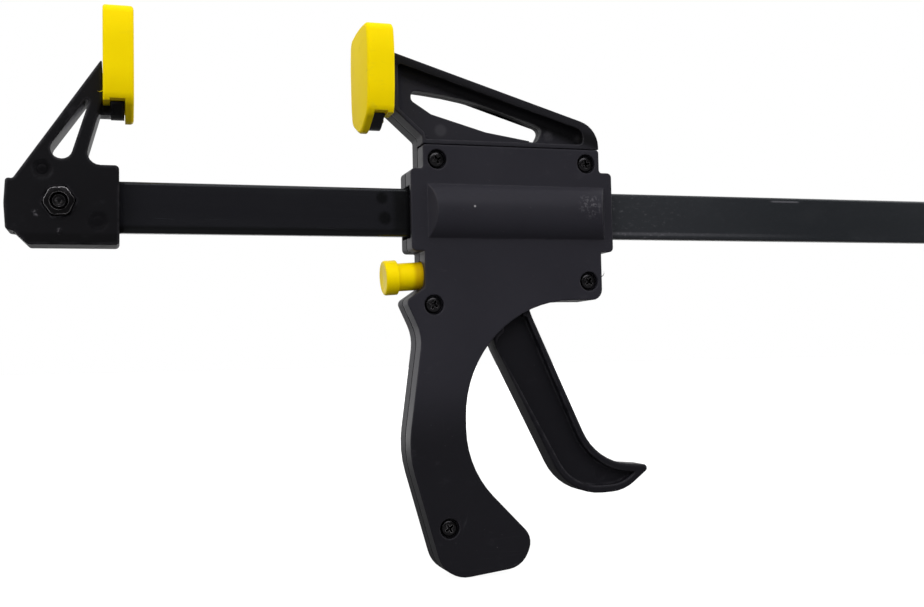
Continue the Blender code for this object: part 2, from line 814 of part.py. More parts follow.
def cut_case_openings(piece):
    """The mechanism's room, the bar's way through, and the openings for button and trigger."""
    frame = moving_frame
    room = outline_mesh("room", rounded(cavity_corners()), -case_skin, case_skin, upright)
    cut(piece, "room", room, frame)
    hollow = rod_mesh("hollow", hollow_radius, (case_front + bulge_front + bulge_slope, 0, 0),
                      (case_rear - case_wall, 0, 0), 0, 2 * turned_steps)
    cut(piece, "hollow", hollow, frame)
    slot = [(shares[0] * trigger_reach + pivot_place, shares[1] * trigger_reach - pivot_drop)
            for shares in trigger_slot_shares]
    half = trigger_thickness / 2 + fit_gap
    cut(piece, "trigger_slot", outline_mesh("slot", slot, -half, half, upright), frame)


def cut_bar_way(piece):
    frame = moving_frame
    half_width = bar_thickness / 2 + guide_clearance
    half_height = bar_height / 2 + guide_clearance
    ahead = case_front - collar_front
    behind = case_rear + collar_rear
    cut(piece, "bar_way", box_mesh("way", (ahead - cut_overrun, -half_width, -half_height),
                                   (behind + cut_overrun, half_width, half_height)), frame)
    mouth_half = bar_height / 2 + mouth_clearance
    front_depth = (collar_front + case_wall) * mouth_depth_share
    rear_depth = (collar_rear + case_wall) * mouth_depth_share
    cut(piece, "front_mouth", box_mesh("mouth", (ahead - cut_overrun, -case_skin, -mouth_half),
                                       (ahead + front_depth, case_skin, mouth_half)), frame)
    cut(piece, "rear_mouth", box_mesh("mouth", (behind - rear_depth, -case_skin, -mouth_half),
                                      (behind + cut_overrun, case_skin, mouth_half)), frame)
    hole = rod_mesh("hole", button_radius + running_gap, (-case_wall - cut_overrun, 0, 0),
                    (case_wall + cut_overrun, 0, 0), 0)
    around = cut(piece, "button_hole", hole, frame, (case_front, 0, button_height))
    around.rotation_euler = (0, -button_droop, 0)


def add_case_ribs(piece):
    """The wall between the two springs, the brake lever's stop and the screws' posts."""
    rear = spring_wall_front + spring_wall_thickness
    join(piece, "spring_wall", rod_mesh("wall", hollow_radius + bulge_wall / 2,
                                        (spring_wall_front, 0, 0), (rear, 0, 0), 0), moving_frame)
    reach = case_skin + case_wall / 2
    join(piece, "brake_stop", box_mesh("stop", (case_front + case_wall / 2, -reach,
                                                lever_top - brake_stop_height),
                                       (brake_lever_front - fit_gap, reach, upper_screw_height)),
         moving_frame)


def add_screw_posts(piece, radius):
    reach = case_skin + case_wall / 2
    for name, along, up in screw_places():
        join(piece, f"post_{name}", rod_mesh("post", radius, (0, -reach, 0), (0, reach, 0), 1),
             moving_frame, (along, 0, up))


def make_jaw_body():
    half = case_thickness / 2
    mesh = outline_mesh("jaw_body", rounded(body_corners()), -half, half, upright)
    body = add_part("jaw_body", mesh, moving_frame, (0, 0, 0), black_nylon)
    round_rims(body, ((-half, moulded_edge), (half, moulded_edge)))
    add_bulge(body)
    cut_case_openings(body)
    add_case_ribs(body)
    add_screw_posts(body, shell_boss_radius)
    seam = fit_gap / 2
    reach = case_rear + collar_rear + cut_overrun
    cut(body, "cover_room", box_mesh("room", (0, -case_thickness, -case_bottom - grip_drop - reach),
                                     (reach, seam, case_top)), moving_frame)
    cut_both_sides(body, "arm_recess", rounded(arm_recess_corners()), arm_web, half, moving_frame)
    cut(body, "arm_window", outline_mesh("window", rounded(arm_window_corners()), -half, half,
                                         upright), moving_frame)
    for name, along, up in screw_places():
        cut(body, f"pilot_{name}", rod_mesh("pilot", screw_shank_radius + fit_gap,
                                            (0, -seam, 0), (0, case_skin, 0), 1),
            moving_frame, (along, 0, up))
    cut_bar_way(body)
    cut(body, "pin_seat", rod_mesh("seat", pivot_radius + fit_gap, (0, 0, 0),
                                   (0, case_skin + pivot_seat, 0), 1),
        moving_frame, (pivot_place, 0, -pivot_drop))
    add_head_plate(body, moving_frame, 1, moving_neck_foot, moving_neck_top)


def make_cover():
    seam = fit_gap / 2
    half = case_thickness / 2
    mesh = outline_mesh("front_cover", rounded(cover_corners()), -half, -seam, upright)
    cover = add_part("front_cover", mesh, moving_frame, (0, 0, 0), black_nylon)
    round_rims(cover, ((-half, moulded_edge), (-seam, seam_edge)))
    add_bulge(cover)
    cut_case_openings(cover)
    add_case_ribs(cover)
    add_screw_posts(cover, cover_boss_radius)
    reach = case_rear + collar_rear + cut_overrun
    deep = bulge_radius + cut_overrun
    cut(cover, "body_room", box_mesh("room", (0, -seam, -case_bottom - grip_drop - reach),
                                     (reach, deep, case_top + cut_overrun)), moving_frame)
    floor = -half + screw_sink + screw_head_height + fit_gap
    for name, along, up in screw_places():
        cut(cover, f"recess_{name}", rod_mesh("recess", recess_radius, (0, -half - cut_overrun, 0),
                                              (0, floor, 0), 1), moving_frame, (along, 0, up))
        cut(cover, f"hole_{name}", rod_mesh("hole", screw_shank_radius + fit_gap,
                                            (0, -half, 0), (0, cut_overrun, 0), 1),
            moving_frame, (along, 0, up))
    cut_bar_way(cover)
    cut(cover, "pin_seat", rod_mesh("seat", pivot_radius + fit_gap, (0, -case_skin - pivot_seat, 0),
                                    (0, 0, 0), 1), moving_frame, (pivot_place, 0, -pivot_drop))


def make_cover_screws():
    half = case_thickness / 2
    crown = half - screw_sink
    seat = crown - screw_head_height
    tip = -(half - case_wall) + fit_gap
    radius = screw_head_radius
    profile = [(0, crown), (radius / 2, crown - screw_head_dome / 6),
               (radius - screw_head_dome / 2, crown - screw_head_dome / 2),
               (radius, crown - screw_head_dome), (radius, seat), (screw_shank_radius, seat),
               (screw_shank_radius, tip + screw_point), (0, tip)]
    for name, along, up in screw_places():
        screw = turned_piece(f"cover_screw_{name}", profile, parts, moving_frame, (along, 0, up),
                             (math.pi / 2, 0, 0), dark_zinc)
        shade_round(screw)


# The trigger and its pivot pin, drawn round the pivot
def trigger_corners():
    contact = nose_lead
    nose = [(contact - nose_width, nose_height, nose_round), (contact, nose_height, nose_round)]
    rest = [tuple(share * trigger_reach for share in shares)
            for shares in trigger_shoulder_shares + trigger_grip_shares]
    return (nose + rest)[::-1]


def trigger_pocket_corners():
    grip = [tuple(share * trigger_reach for share in shares) for shares in trigger_grip_shares]
    kept = inset(grip[::-1], trigger_rim)[::-1][1:5]
    top = [tuple(share * trigger_reach for share in shares) for shares in trigger_pocket_shares]
    return ([top[0]] + kept + [top[1]])[::-1]


def make_trigger():
    place = (pivot_place, 0, -pivot_drop)
    half = trigger_thickness / 2
    mesh = outline_mesh("trigger", rounded(trigger_corners()), -half, half, upright)
    trigger = add_part("trigger", mesh, moving_frame, place, black_nylon)
    round_rims(trigger, ((-half, trigger_edge), (half, trigger_edge)))
    cut_both_sides(trigger, "pocket", rounded(trigger_pocket_corners()), trigger_web, half, trigger)
    cut(trigger, "bore", rod_mesh("bore", pivot_radius + fit_gap, (0, -trigger_thickness, 0),
                                  (0, trigger_thickness, 0), 1), trigger)


def make_trigger_pin():
    half = case_thickness / 2 - case_wall + pivot_seat - fit_gap
    mesh = rod_mesh("trigger_pin", pivot_radius, (0, -half, 0), (0, half, 0), 1)
    pin = add_part("trigger_pin", mesh, moving_frame, (pivot_place, 0, -pivot_drop), dark_zinc)
    round_edges(pin, pivot_radius / 5)
    shade_round(pin)


# The two steel levers that grip the bar and their springs
def make_lever(name, top, foot, place, lean):
    """A plate with a window for the bar; its origin is on the bar side of its upper edge."""
    half = lever_width / 2
    outline = [(half, top, lever_corner), (-half, top, lever_corner),
               (-half, -foot, lever_corner), (half, -foot, lever_corner)]
    lifted = [(across, up - top, radius) for across, up, radius in outline]
    mesh = outline_mesh(name, rounded(lifted), 0, lever_thickness, facing)
    lever = add_part(name, mesh, moving_frame, (place, 0, top), hardened_plate)
    lever.rotation_euler = (0, lean, 0)
    window_half_width = bar_thickness / 2 + lever_hole_clearance
    slack = lever_hole_clearance + lever_thickness * math.tan(abs(lean)) / 2
    slack += bar_height / 2 * (1 / math.cos(lean) - 1)
    window_half = bar_height / 2 + slack
    window = box_mesh("window", (-lever_thickness, -window_half_width, -window_half - top),
                      (lever_thickness + lever_thickness, window_half_width, window_half - top))
    cut(lever, "window", window, lever)
    return lever


def coil_curve(name, start, end, turns, material):
    """A compression spring round the bar, its first and last turns lying flat."""
    curve = bpy.data.curves.new(name, "CURVE")
    curve.dimensions = "3D"
    curve.bevel_depth = wire_radius
    curve.bevel_resolution = 2
    curve.use_fill_caps = True
    low = start + wire_radius
    high = end - wire_radius
    pitch_low = low + wire_radius * 2 + fit_gap
    pitch_high = high - wire_radius * 2 - fit_gap
    count = turns * coil_points
    spline = curve.splines.new("POLY")
    spline.points.add(count)
    for number, point in enumerate(spline.points):
        turn = number / coil_points
        angle = 2 * math.pi * turn
        if turn <= 1:
            along = low + (pitch_low - low) * turn
        elif turn >= turns - 1:
            along = high - (high - pitch_high) * (turns - turn)
        else:
            along = pitch_low + (pitch_high - pitch_low) * (turn - 1) / (turns - 2)
        point.co = (along, coil_radius * math.cos(angle), coil_radius * math.sin(angle), 1)
    curve.materials.append(material)
    return put(name, curve, parts, moving_frame, (0, 0, 0))


def make_springs():
    brake_back = brake_lever_front + lever_thickness + fit_gap
    coil_curve("brake_spring", brake_back, spring_wall_front - fit_gap, brake_spring_turns,
               spring_steel)
    drive_back = drive_lever_front + lever_thickness + fit_gap
    coil_curve("drive_spring", drive_back, case_rear - case_wall - fit_gap, drive_spring_turns,
               spring_steel)


# The release button, whose outer end droops a little in its hole
def make_button():
    lever_face = brake_lever_front - (lever_top - button_height) * math.tan(brake_lean)
    dip = button_catch_radius * math.tan(brake_lean + button_droop)
    inner = (lever_face - fit_gap - dip - case_front) / math.cos(button_droop)
    catch = case_wall + fit_gap + button_catch_radius * math.tan(button_droop)
    outer = button_stand
    cap = outer - button_cap_length
    edge = button_edge
    profile = [(0, inner), (button_catch_radius - edge / 2, inner),
               (button_catch_radius, inner - edge / 2), (button_catch_radius, catch),
               (button_radius, catch), (button_radius, -cap),
               (button_cap_radius - edge / 2, -cap), (button_cap_radius, -cap - edge / 2),
               (button_cap_radius, -outer + edge), (button_cap_radius - edge, -outer), (0, -outer)]
    turn = math.pi / 2 - button_droop
    button = turned_piece("release_button", profile, parts, moving_frame,
                          (case_front, 0, button_height), (0, turn, 0), yellow_rubber)
    shade_round(button)


make_bar()
make_stop_pin()
make_fixed_jaw()
make_bolt()
make_nut()
make_pad("fixed_pad", fixed_frame, 0)
make_pad("moving_pad", moving_frame, math.pi)
make_jaw_body()
make_cover()
make_cover_screws()
make_trigger()
make_trigger_pin()
make_lever("brake_lever", lever_top, brake_lever_foot, brake_lever_front, brake_lean)
make_lever("drive_lever", lever_top, drive_lever_foot, drive_lever_front, 0)
make_springs()
make_button()
bpy.context.view_layer.update()
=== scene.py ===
# %% [markdown]
# # A quick release bar clamp, dressed for its portrait
# The clamp is a flat steel bar with one jaw fixed at its end and another that
# slides on it. A CAD model of it is already packed, with every piece on the body
# that it moves with. This lesson loads that model, lights it, gives each piece the
# finish of the real one, and models the pieces whose plain solids are too simple.
# The first lines must load the frame, because later steps measure its pieces.

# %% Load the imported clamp
import bpy
import bmesh
import json
import math
from mathutils import Matrix, Vector

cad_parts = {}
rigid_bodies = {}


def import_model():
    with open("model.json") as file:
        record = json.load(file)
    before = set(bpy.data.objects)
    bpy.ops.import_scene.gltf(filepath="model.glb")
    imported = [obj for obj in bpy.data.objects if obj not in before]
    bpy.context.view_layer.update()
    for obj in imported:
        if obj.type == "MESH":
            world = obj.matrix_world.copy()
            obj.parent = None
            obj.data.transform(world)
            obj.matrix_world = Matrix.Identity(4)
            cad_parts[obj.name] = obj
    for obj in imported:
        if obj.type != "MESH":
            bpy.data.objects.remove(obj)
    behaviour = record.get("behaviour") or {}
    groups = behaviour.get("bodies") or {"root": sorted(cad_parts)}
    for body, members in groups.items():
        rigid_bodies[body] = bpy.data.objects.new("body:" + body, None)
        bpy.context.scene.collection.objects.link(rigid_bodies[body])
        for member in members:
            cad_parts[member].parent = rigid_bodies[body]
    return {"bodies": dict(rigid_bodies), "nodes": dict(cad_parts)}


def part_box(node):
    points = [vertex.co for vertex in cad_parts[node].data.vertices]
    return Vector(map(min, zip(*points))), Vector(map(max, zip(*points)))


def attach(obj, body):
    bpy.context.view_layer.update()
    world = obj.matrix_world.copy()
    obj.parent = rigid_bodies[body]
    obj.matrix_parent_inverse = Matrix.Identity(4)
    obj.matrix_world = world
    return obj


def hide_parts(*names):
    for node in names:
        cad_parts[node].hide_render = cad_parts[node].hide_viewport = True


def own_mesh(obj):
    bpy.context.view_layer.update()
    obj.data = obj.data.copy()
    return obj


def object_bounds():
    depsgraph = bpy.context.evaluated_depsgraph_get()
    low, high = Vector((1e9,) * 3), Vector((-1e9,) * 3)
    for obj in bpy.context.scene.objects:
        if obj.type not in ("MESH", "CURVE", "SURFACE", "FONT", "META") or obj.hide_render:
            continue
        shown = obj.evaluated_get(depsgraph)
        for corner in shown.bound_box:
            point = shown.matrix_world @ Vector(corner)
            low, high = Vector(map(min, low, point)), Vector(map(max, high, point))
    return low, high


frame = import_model()
cad_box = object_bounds()
millimetre = 0.001
print("bodies:", ", ".join(sorted(frame["bodies"])))
print("nodes:", len(frame["nodes"]))

# %% [markdown]
# ## The camera
# The photograph was taken from the left of the clamp's middle, a little below its
# jaws, and close enough for the bar to shrink towards the right. A camera could be
# aimed with a Track To constraint, but a matrix is exact and stays readable: its
# columns are the camera's right, its up, its back, and its place. A lens of 44 mm
# on the usual 36 mm sensor gives the photograph's angle of view.

# %% Place the camera
camera_right = Vector((0.95664, -0.29050, -0.02113))
camera_up = Vector((0.00528, -0.05522, 0.99846))
camera_ahead = Vector((0.29122, 0.95528, 0.05129))
camera_place = Vector((-0.0061, -0.4427, -0.1149))

lens = bpy.data.cameras.new("portrait_lens")
lens.lens = 44.03
lens.sensor_width = 36
lens.clip_start = 0.01
lens.clip_end = 60
camera = bpy.data.objects.new("portrait_camera", lens)
bpy.context.scene.collection.objects.link(camera)
turned = Matrix((camera_right, camera_up, -camera_ahead)).transposed()
camera.matrix_world = Matrix.Translation(camera_place) @ turned.to_4x4()
bpy.context.scene.camera = camera
print("camera stands", round(-camera_place.y, 3), "m in front of the bar")

# %% [markdown]
# ## Shader maths that reads like maths
# A finish is a tree of nodes. Adding them one by one in Python soon hides what the
# finish does, so two small classes do the wiring. Value wraps one output socket and
# turns + - * into Math nodes. Finish owns one material, and its node method makes
# every other kind of node. After this cell a material is a few short sums.

# %% Wrap the sockets
class Value:
    """One output socket of a finish, which sums and products can use."""

    def __init__(self, finish, socket):
        self.finish = finish
        self.socket = socket

    def math(self, operation, first, second):
        return self.finish.node("Math", {"operation": operation}, {0: first, 1: second})

    def __add__(self, other):
        return self.math("ADD", self, other)

    def __sub__(self, other):
        return self.math("SUBTRACT", self, other)

    def __mul__(self, other):
        return self.math("MULTIPLY", self, other)

    def __radd__(self, other):
        return self.math("ADD", other, self)

    def __rsub__(self, other):
        return self.math("SUBTRACT", other, self)

    def __rmul__(self, other):
        return self.math("MULTIPLY", other, self)


class Finish:
    """One material, or the world's own shading, built node by node."""

    def __init__(self, name, world=None, shift=(0, 0, 0)):
        self.shift = shift
        self.material = world or bpy.data.materials.new(name)
        self.material.use_nodes = True
        self.tree = self.material.node_tree
        self.shader = self.tree.nodes["Background" if world else "Principled BSDF"]

    def join(self, value, socket):
        if isinstance(value, Value):
            self.tree.links.new(value.socket, socket)
        else:
            socket.default_value = value

    def node(self, kind, settings, sockets, out=0):
        made = self.tree.nodes.new("ShaderNode" + kind)
        for key, value in settings.items():
            setattr(made, key, value)
        for key, value in sockets.items():
            self.join(value, made.inputs[key])
        return Value(self, made.outputs[out])

    def place(self, stretch=(1, 1, 1), shift=(0, 0, 0)):
        where = self.node("TexCoord", {}, {}, "Object")
        return self.node("Mapping", {}, {"Vector": where, "Scale": stretch, "Location": shift})

    def axis(self, number):
        return self.node("SeparateXYZ", {}, {"Vector": self.place()}, number)

    def noise(self, scale, detail=3.0, stretch=(1, 1, 1), roughness=0.5, shift=None):
        """A noise, which two finishes of one kind read at different places."""
        settings = {"noise_dimensions": "3D"}
        sockets = {"Vector": self.place(stretch, shift or self.shift), "Scale": scale,
                   "Detail": detail, "Roughness": roughness}
        return self.node("TexNoise", settings, sockets, "Fac")

    def between(self, value, low, high):
        settings = {"interpolation_type": "SMOOTHSTEP"}
        sockets = {"Value": value, "From Min": low, "From Max": high}
        return self.node("MapRange", settings, sockets, "Result")

    def blend(self, share, first, second):
        return self.node("Mix", {"data_type": "RGBA"}, {0: share, 6: first, 7: second}, 2)

    def bump(self, height, distance, strength=1.0, below=None):
        sockets = {"Height": height, "Distance": distance, "Strength": strength}
        if below is not None:
            sockets["Normal"] = below
        return self.node("Bump", {}, sockets)

    def rounded(self, reach):
        """The normal of a piece whose sharp edges are rounded by this reach."""
        return self.node("Bevel", {"samples": 6}, {"Radius": reach})

    def unsigned(self, value):
        return self.node("Math", {"operation": "ABSOLUTE"}, {0: value})

    def measure(self, operation, first, second):
        """The number that two vectors give: their distance or their dot product."""
        return self.node("VectorMath", {"operation": operation}, {0: first, 1: second}, "Value")

    def edges(self, reach):
        """1 along the edges of a piece, and 0 on its flats."""
        plain = self.node("NewGeometry", {}, {}, "Normal")
        return self.between(self.measure("DOT_PRODUCT", self.rounded(reach), plain), 0.995, 0.90)

    def spot(self, place, radius, soft=0.5):
        """1 near a place on the piece, in metres, and 0 past the radius."""
        away = self.measure("DISTANCE", self.place(), place)
        return self.between(away, radius, radius * (1 - soft))

    def spots(self, places, soft=0.5):
        """1 near any of some places, each given with its radius."""
        return sum(self.spot(place, radius, soft) for place, radius in places)

    def set(self, **sockets):
        for key, value in sockets.items():
            self.join(value, self.shader.inputs[key.replace("_", " ")])
        return self.material


def shade(grey, blue=1.0):
    """A neutral dark colour, with its blue raised by a factor."""
    return (grey, grey * 0.96, grey * blue, 1)


print("ready to build finishes")

# %% [markdown]
# ## Black moulded nylon
# Housing, jaws and trigger are nylon with glass fibre in it. It is not quite black:
# a spark-eroded mould leaves a fine grain that scatters light, and the surface is a
# little bluish. Use polishes the edges and leaves pale hairline scuffs on the
# flats; the paler edges are also a painted highlight along their rounding. Each of
# these is one noise: a fine one for the grain, a broad one for the cloudiness, and
# two stretched ones whose middle values draw the hairlines.

# %% Draw hairline scuffs
def hairlines(finish, scale, stretch, keep, shift=None):
    """Thin marks: the narrow band where a stretched noise crosses its middle."""
    wave = finish.noise(scale, 1.0, stretch, 0.3, shift)
    band = finish.between(finish.unsigned(wave - 0.5), 0.005, 0.0)
    patch = finish.between(finish.noise(45, 2.0, shift=shift), keep, keep + 0.08)
    return band * patch


print("hairlines ready")

# %% [markdown]
# Other marks belong to a place, and they are painted light and shade. The grip gets
# painted shade and a little polish from use, the arm's thin wall is painted paler than
# its rim with a painted shadow right below the rim, the parting line gets painted
# shade, and the foot of the fixed jaw gets painted shade. Each is a band along an
# axis, or along the slope that the arm's top follows, so it is worked out from the
# place and not from a noise.

# %% Find the dark places
arm_slope = 0.345
arm_wall, shade_top, shade_low = (0.0392, 0.0335), (0.0446, 0.0410), (0.0365, 0.0395)
grip_band, foot_fade = (-0.118, -0.150), 0.0012
parting_plane, parting_band = -0.00008, (0.00070, 0.00015)


def dark_places(nylon, grip, arm, seam, foot):
    """The grip, the arm's wall and the parting line, and how much painted shade each place gets."""
    # painted shade on the grip, which use also polishes a little
    grip_shade_and_polish = nylon.between(nylon.axis(2), *grip_band) * grip
    fall = nylon.axis(2) + nylon.axis(0) * arm_slope
    # painted light: the arm's thin wall is painted paler
    wall = nylon.between(fall, *arm_wall) * arm
    # painted shadow right below the arm's rim
    shadow = nylon.between(fall, *shade_top) * nylon.between(fall, *shade_low) * arm
    # painted shade along the parting line, which also gets a small bump
    groove = nylon.between(nylon.unsigned(nylon.axis(1) - parting_plane), *parting_band) * seam
    # painted shade at the foot of the fixed jaw
    below = nylon.between(nylon.axis(2), foot, foot - foot_fade)
    return grip_shade_and_polish, wall, groove, grip_shade_and_polish * 0.65 + shadow * 0.9 + groove * 0.9 + below * 0.8


print("the arm falls", arm_slope, "m per metre")

# %% [markdown]
# The finish lays these over one another, from the plain body colour to the palest
# nick. Single marks are spots: rings stained by the ejector pins, painted shade in the
# recess of the fixed jaw, chafed and buffed patches, and nicks.

# %% The nylon finish
jaw_face = (-0.0079, -0.0072)


def moulded_nylon(name, grey, sheen, scuffing=1.0, shift=(0, 0, 0), grip=0.0, marks=(), chafed=(),
                  buffed=(), dents=(), corner=0.0009, arm=0.0, edge_wear_and_highlight=0.5, seam=0.0, foot=-9.0,
                  gloss=0.44, recesses=()):
    nylon = Finish(name, shift=shift)
    cloud, mottle = nylon.noise(26, 4.0), nylon.noise(210)
    grit = nylon.noise(1900, 2.0, roughness=0.6)
    worn = nylon.edges(corner) * nylon.between(mottle, 0.34, 0.60)
    scratch = hairlines(nylon, 110, (0.16, 1, 2.4), 0.62)
    streak = hairlines(nylon, 100, (2.0, 1, 0.20), 0.64, (3.1, 0.4, 1.7))
    scuffs = (scratch + streak) * scuffing
    rubs = nylon.between(nylon.noise(95, 5.0, (1, 1, 1.5), 0.65), 0.60, 0.78) * scuffing
    dust = nylon.between(nylon.noise(1500, 1.0), 0.78, 0.84)
    flecks = nylon.between(nylon.noise(620, roughness=0.7), 0.50, 0.64)
    chafe = flecks * nylon.spots(chafed, 0.9)
    pins = sum(nylon.spot(place, radius, 0.35) * depth for place, radius, depth in marks)
    stain = pins * (0.60 + mottle * 0.7)
    # painted shade inside the fixed jaw's recess
    recess = nylon.spots(recesses, 0.35) * nylon.between(nylon.axis(1), *jaw_face)
    grip_shade_and_polish, wall, groove, dark = dark_places(nylon, grip, arm, seam, foot)
    body = nylon.blend(cloud, shade(grey * 0.80, 1.30), shade(grey * 1.20, 1.26))
    # painted light on the arm's thin wall
    lower = nylon.blend(wall, body, shade(grey * 2.1, 1.28))
    # painted shade of the grip, under the rim, in the parting line, at the jaw's foot and in its recess,
    # with the real stains of the ejector pins
    darker = nylon.blend(dark + stain * 0.85 + recess, lower, shade(grey * 0.15, 1.1))
    # rubbed edges are wear and a painted highlight along their rounding
    rubbed = nylon.blend(worn * edge_wear_and_highlight + nylon.spots(buffed) * 0.55, darker, shade(0.046, 1.10))
    hazed = nylon.blend(rubs * 0.16, rubbed, shade(0.055, 1.12))
    marked = nylon.blend(scuffs * 0.12, hazed, shade(0.09, 1.08))
    speckled = nylon.blend(dust * 0.40 + chafe * 0.55, marked, shade(0.15, 1.05))
    nicked = nylon.blend(nylon.spots(dents, 0.6) * 0.45, speckled, shade(0.62, 1.0))
    rough = gloss + cloud * 0.12 - worn * 0.08 + rubs * 0.10 + scuffs * 0.08 - grip_shade_and_polish * 0.06 - stain * 0.24
    pebbles = nylon.bump(grit, 0.00006, 0.50, nylon.rounded(corner))
    ripples = nylon.bump(mottle, 0.00010, 0.22, pebbles)
    parted = nylon.bump(groove * -1.0, 0.0012, 1.0, ripples)
    return nylon.set(Base_Color=nicked, Roughness=rough, Normal=parted, Metallic=stain * 0.5 + recess * 0.9,
                     Specular_IOR_Level=sheen, Specular_Tint=(0.93, 0.91, 1.0, 1))


print("the fixed jaw's face lies near", jaw_face[0])

# %% [markdown]
# The four mouldings come from different moulds and wear in different ways. So each
# has its own grey, gloss and marks, and reads its noises at a place of its own.

# %% Mix the four nylons
bulge_end = ((0.1815, -0.0135, -0.0513), 0.0072)
pale_nick = ((0.1310, -0.0137, -0.0528), 0.0006)
jaw_pin_marks = (((-0.0323, -0.0080, -0.0415), 0.0036, 0.50), ((-0.0130, -0.0080, -0.0604), 0.0046, 0.32))
jaw_nicks = (((-0.0262, -0.0080, -0.0643), 0.0016), ((-0.0344, -0.0080, -0.0578), 0.0022))
# spots of painted shade in the fixed jaw's recess
jaw_recess = (((-0.0172, -0.0030, -0.0205), 0.0056), ((-0.0204, -0.0030, -0.0263), 0.0056))
arm_pips = (((0.1670, -0.0035, -0.0208), 0.0024), ((0.1202, -0.0035, -0.0205), 0.0032))
housing_nylon = moulded_nylon("housing_nylon", 0.0085, 0.30, 1.0, (0, 0, 0), 1.0, buffed=arm_pips, arm=1.0,
                              seam=1.0, gloss=0.50)
cover_nylon = moulded_nylon("cover_nylon", 0.0212, 0.23, 1.2, (1.3, 0.2, 0.7), 1.0, chafed=(bulge_end,),
                            dents=(pale_nick,), seam=1.0, gloss=0.38)
# the fixed jaw gets painted shade at its foot and in its recess, and more painted edge highlight
jaw_nylon = moulded_nylon("fixed_jaw_nylon", 0.0030, 0.27, 1.0, (2.9, 0.6, 0.1), 0.0, jaw_pin_marks,
                          jaw_nicks, corner=0.0018, edge_wear_and_highlight=0.70, foot=-0.0645, recesses=jaw_recess)
trigger_nylon = moulded_nylon("trigger_nylon", 0.0082, 0.20, 0.6, (0.4, 1.9, 2.2), corner=0.0017)
print("nylon nodes:", len(housing_nylon.node_tree.nodes))

# %% [markdown]
# ## Yellow soft plastic
# The pads are a soft yellow vinyl that lets a little light in, so their edges
# glow. It picks up brown dirt where work has been clamped. Subsurface scattering is
# the same all over, so it is set on the shader's own socket. The dirt changes over
# the face, so it is painted into the base colour instead. The button is a harder,
# glossier plastic of the same yellow, with painted shade where its stem goes into the
# case.

# %% The yellow finishes
sunk_fade = 0.0025


def yellow_plastic(name, gloss, dirt, depth, shift=(0, 0, 0), sunk_from=9.0):
    yellow = Finish(name, shift=shift)
    cloud, pores = yellow.noise(45), yellow.noise(1500, 2.0)
    smear = yellow.noise(120, 4.0, (1, 0.6, 2.0), 0.6)
    grime = yellow.between(smear, 0.58, 0.74) * dirt
    rubbed = yellow.edges(0.0011)
    fresh = yellow.blend(cloud, (0.92, 0.665, 0.0001, 1), (0.97, 0.745, 0.0003, 1))
    paler = yellow.blend(rubbed * 0.20, fresh, (0.95, 0.76, 0.010, 1))
    dirty = yellow.blend(grime * 0.40, paler, (0.45, 0.35, 0.05, 1))
    # painted shade on the stem where it goes into the case
    sunk = yellow.between(yellow.axis(0), sunk_from, sunk_from + sunk_fade)
    shaded_at_hole = yellow.blend(sunk * 0.60, dirty, (0.42, 0.20, 0.001, 1))
    rough = gloss + smear * 0.12 + grime * 0.12
    dimples = yellow.bump(pores, 0.00004, 0.5)
    waves = yellow.bump(cloud, 0.0004, 0.18, dimples)
    return yellow.set(Base_Color=shaded_at_hole, Roughness=rough, Normal=waves,
                      Subsurface_Weight=depth, Subsurface_Radius=(0.0022, 0.0014, 0.0003),
                      Subsurface_Scale=1.0, Specular_IOR_Level=0.10,
                      Specular_Tint=(1.0, 0.86, 0.22, 1))


fixed_pad_yellow = yellow_plastic("fixed_pad_vinyl", 0.52, 0.15, 0.12)
moving_pad_yellow = yellow_plastic("moving_pad_vinyl", 0.54, 0.5, 0.12, (1.7, 0.3, 0.9))
button_yellow = yellow_plastic("button_plastic", 0.30, 0.35, 0.06, (0.8, 2.2, 0.5), 0.1066)
print("yellow finishes:", fixed_pad_yellow.name, moving_pad_yellow.name, button_yellow.name)

# %% [markdown]
# ## Black paint on the bar
# The bar is rolled steel with a smooth black coat. What shows on it is not its
# colour but its gloss: smudges are rougher patches, the sliding jaw leaves
# fine lines along it, and behind the housing the coat is scuffed grey. Noise that is
# stretched along X gives the lines, and roughness carries most of the detail. Bands
# and spots add what has one place: the lower rail that the jaw polishes, painted
# lighter as wear and as a painted highlight, two dark smears before the housing, and a
# bright streak near the far end, a painted highlight on the top edge. Painted shade
# darkens the lower edge where the coat is not scuffed, and the bar from just before
# the housing's collar.

# %% The bar's finish
bar_front, low_rail_height, top_rail_height = -0.0027, -0.0618, -0.0464
smear_places = (((0.0954, bar_front, -0.0487), 0.0030), ((0.0965, bar_front, -0.0568), 0.0034))
# where a painted highlight streak lies on the top edge near the far end
highlight_streak_middle, highlight_streak_long = (0.2805, bar_front, top_rail_height), 0.0080


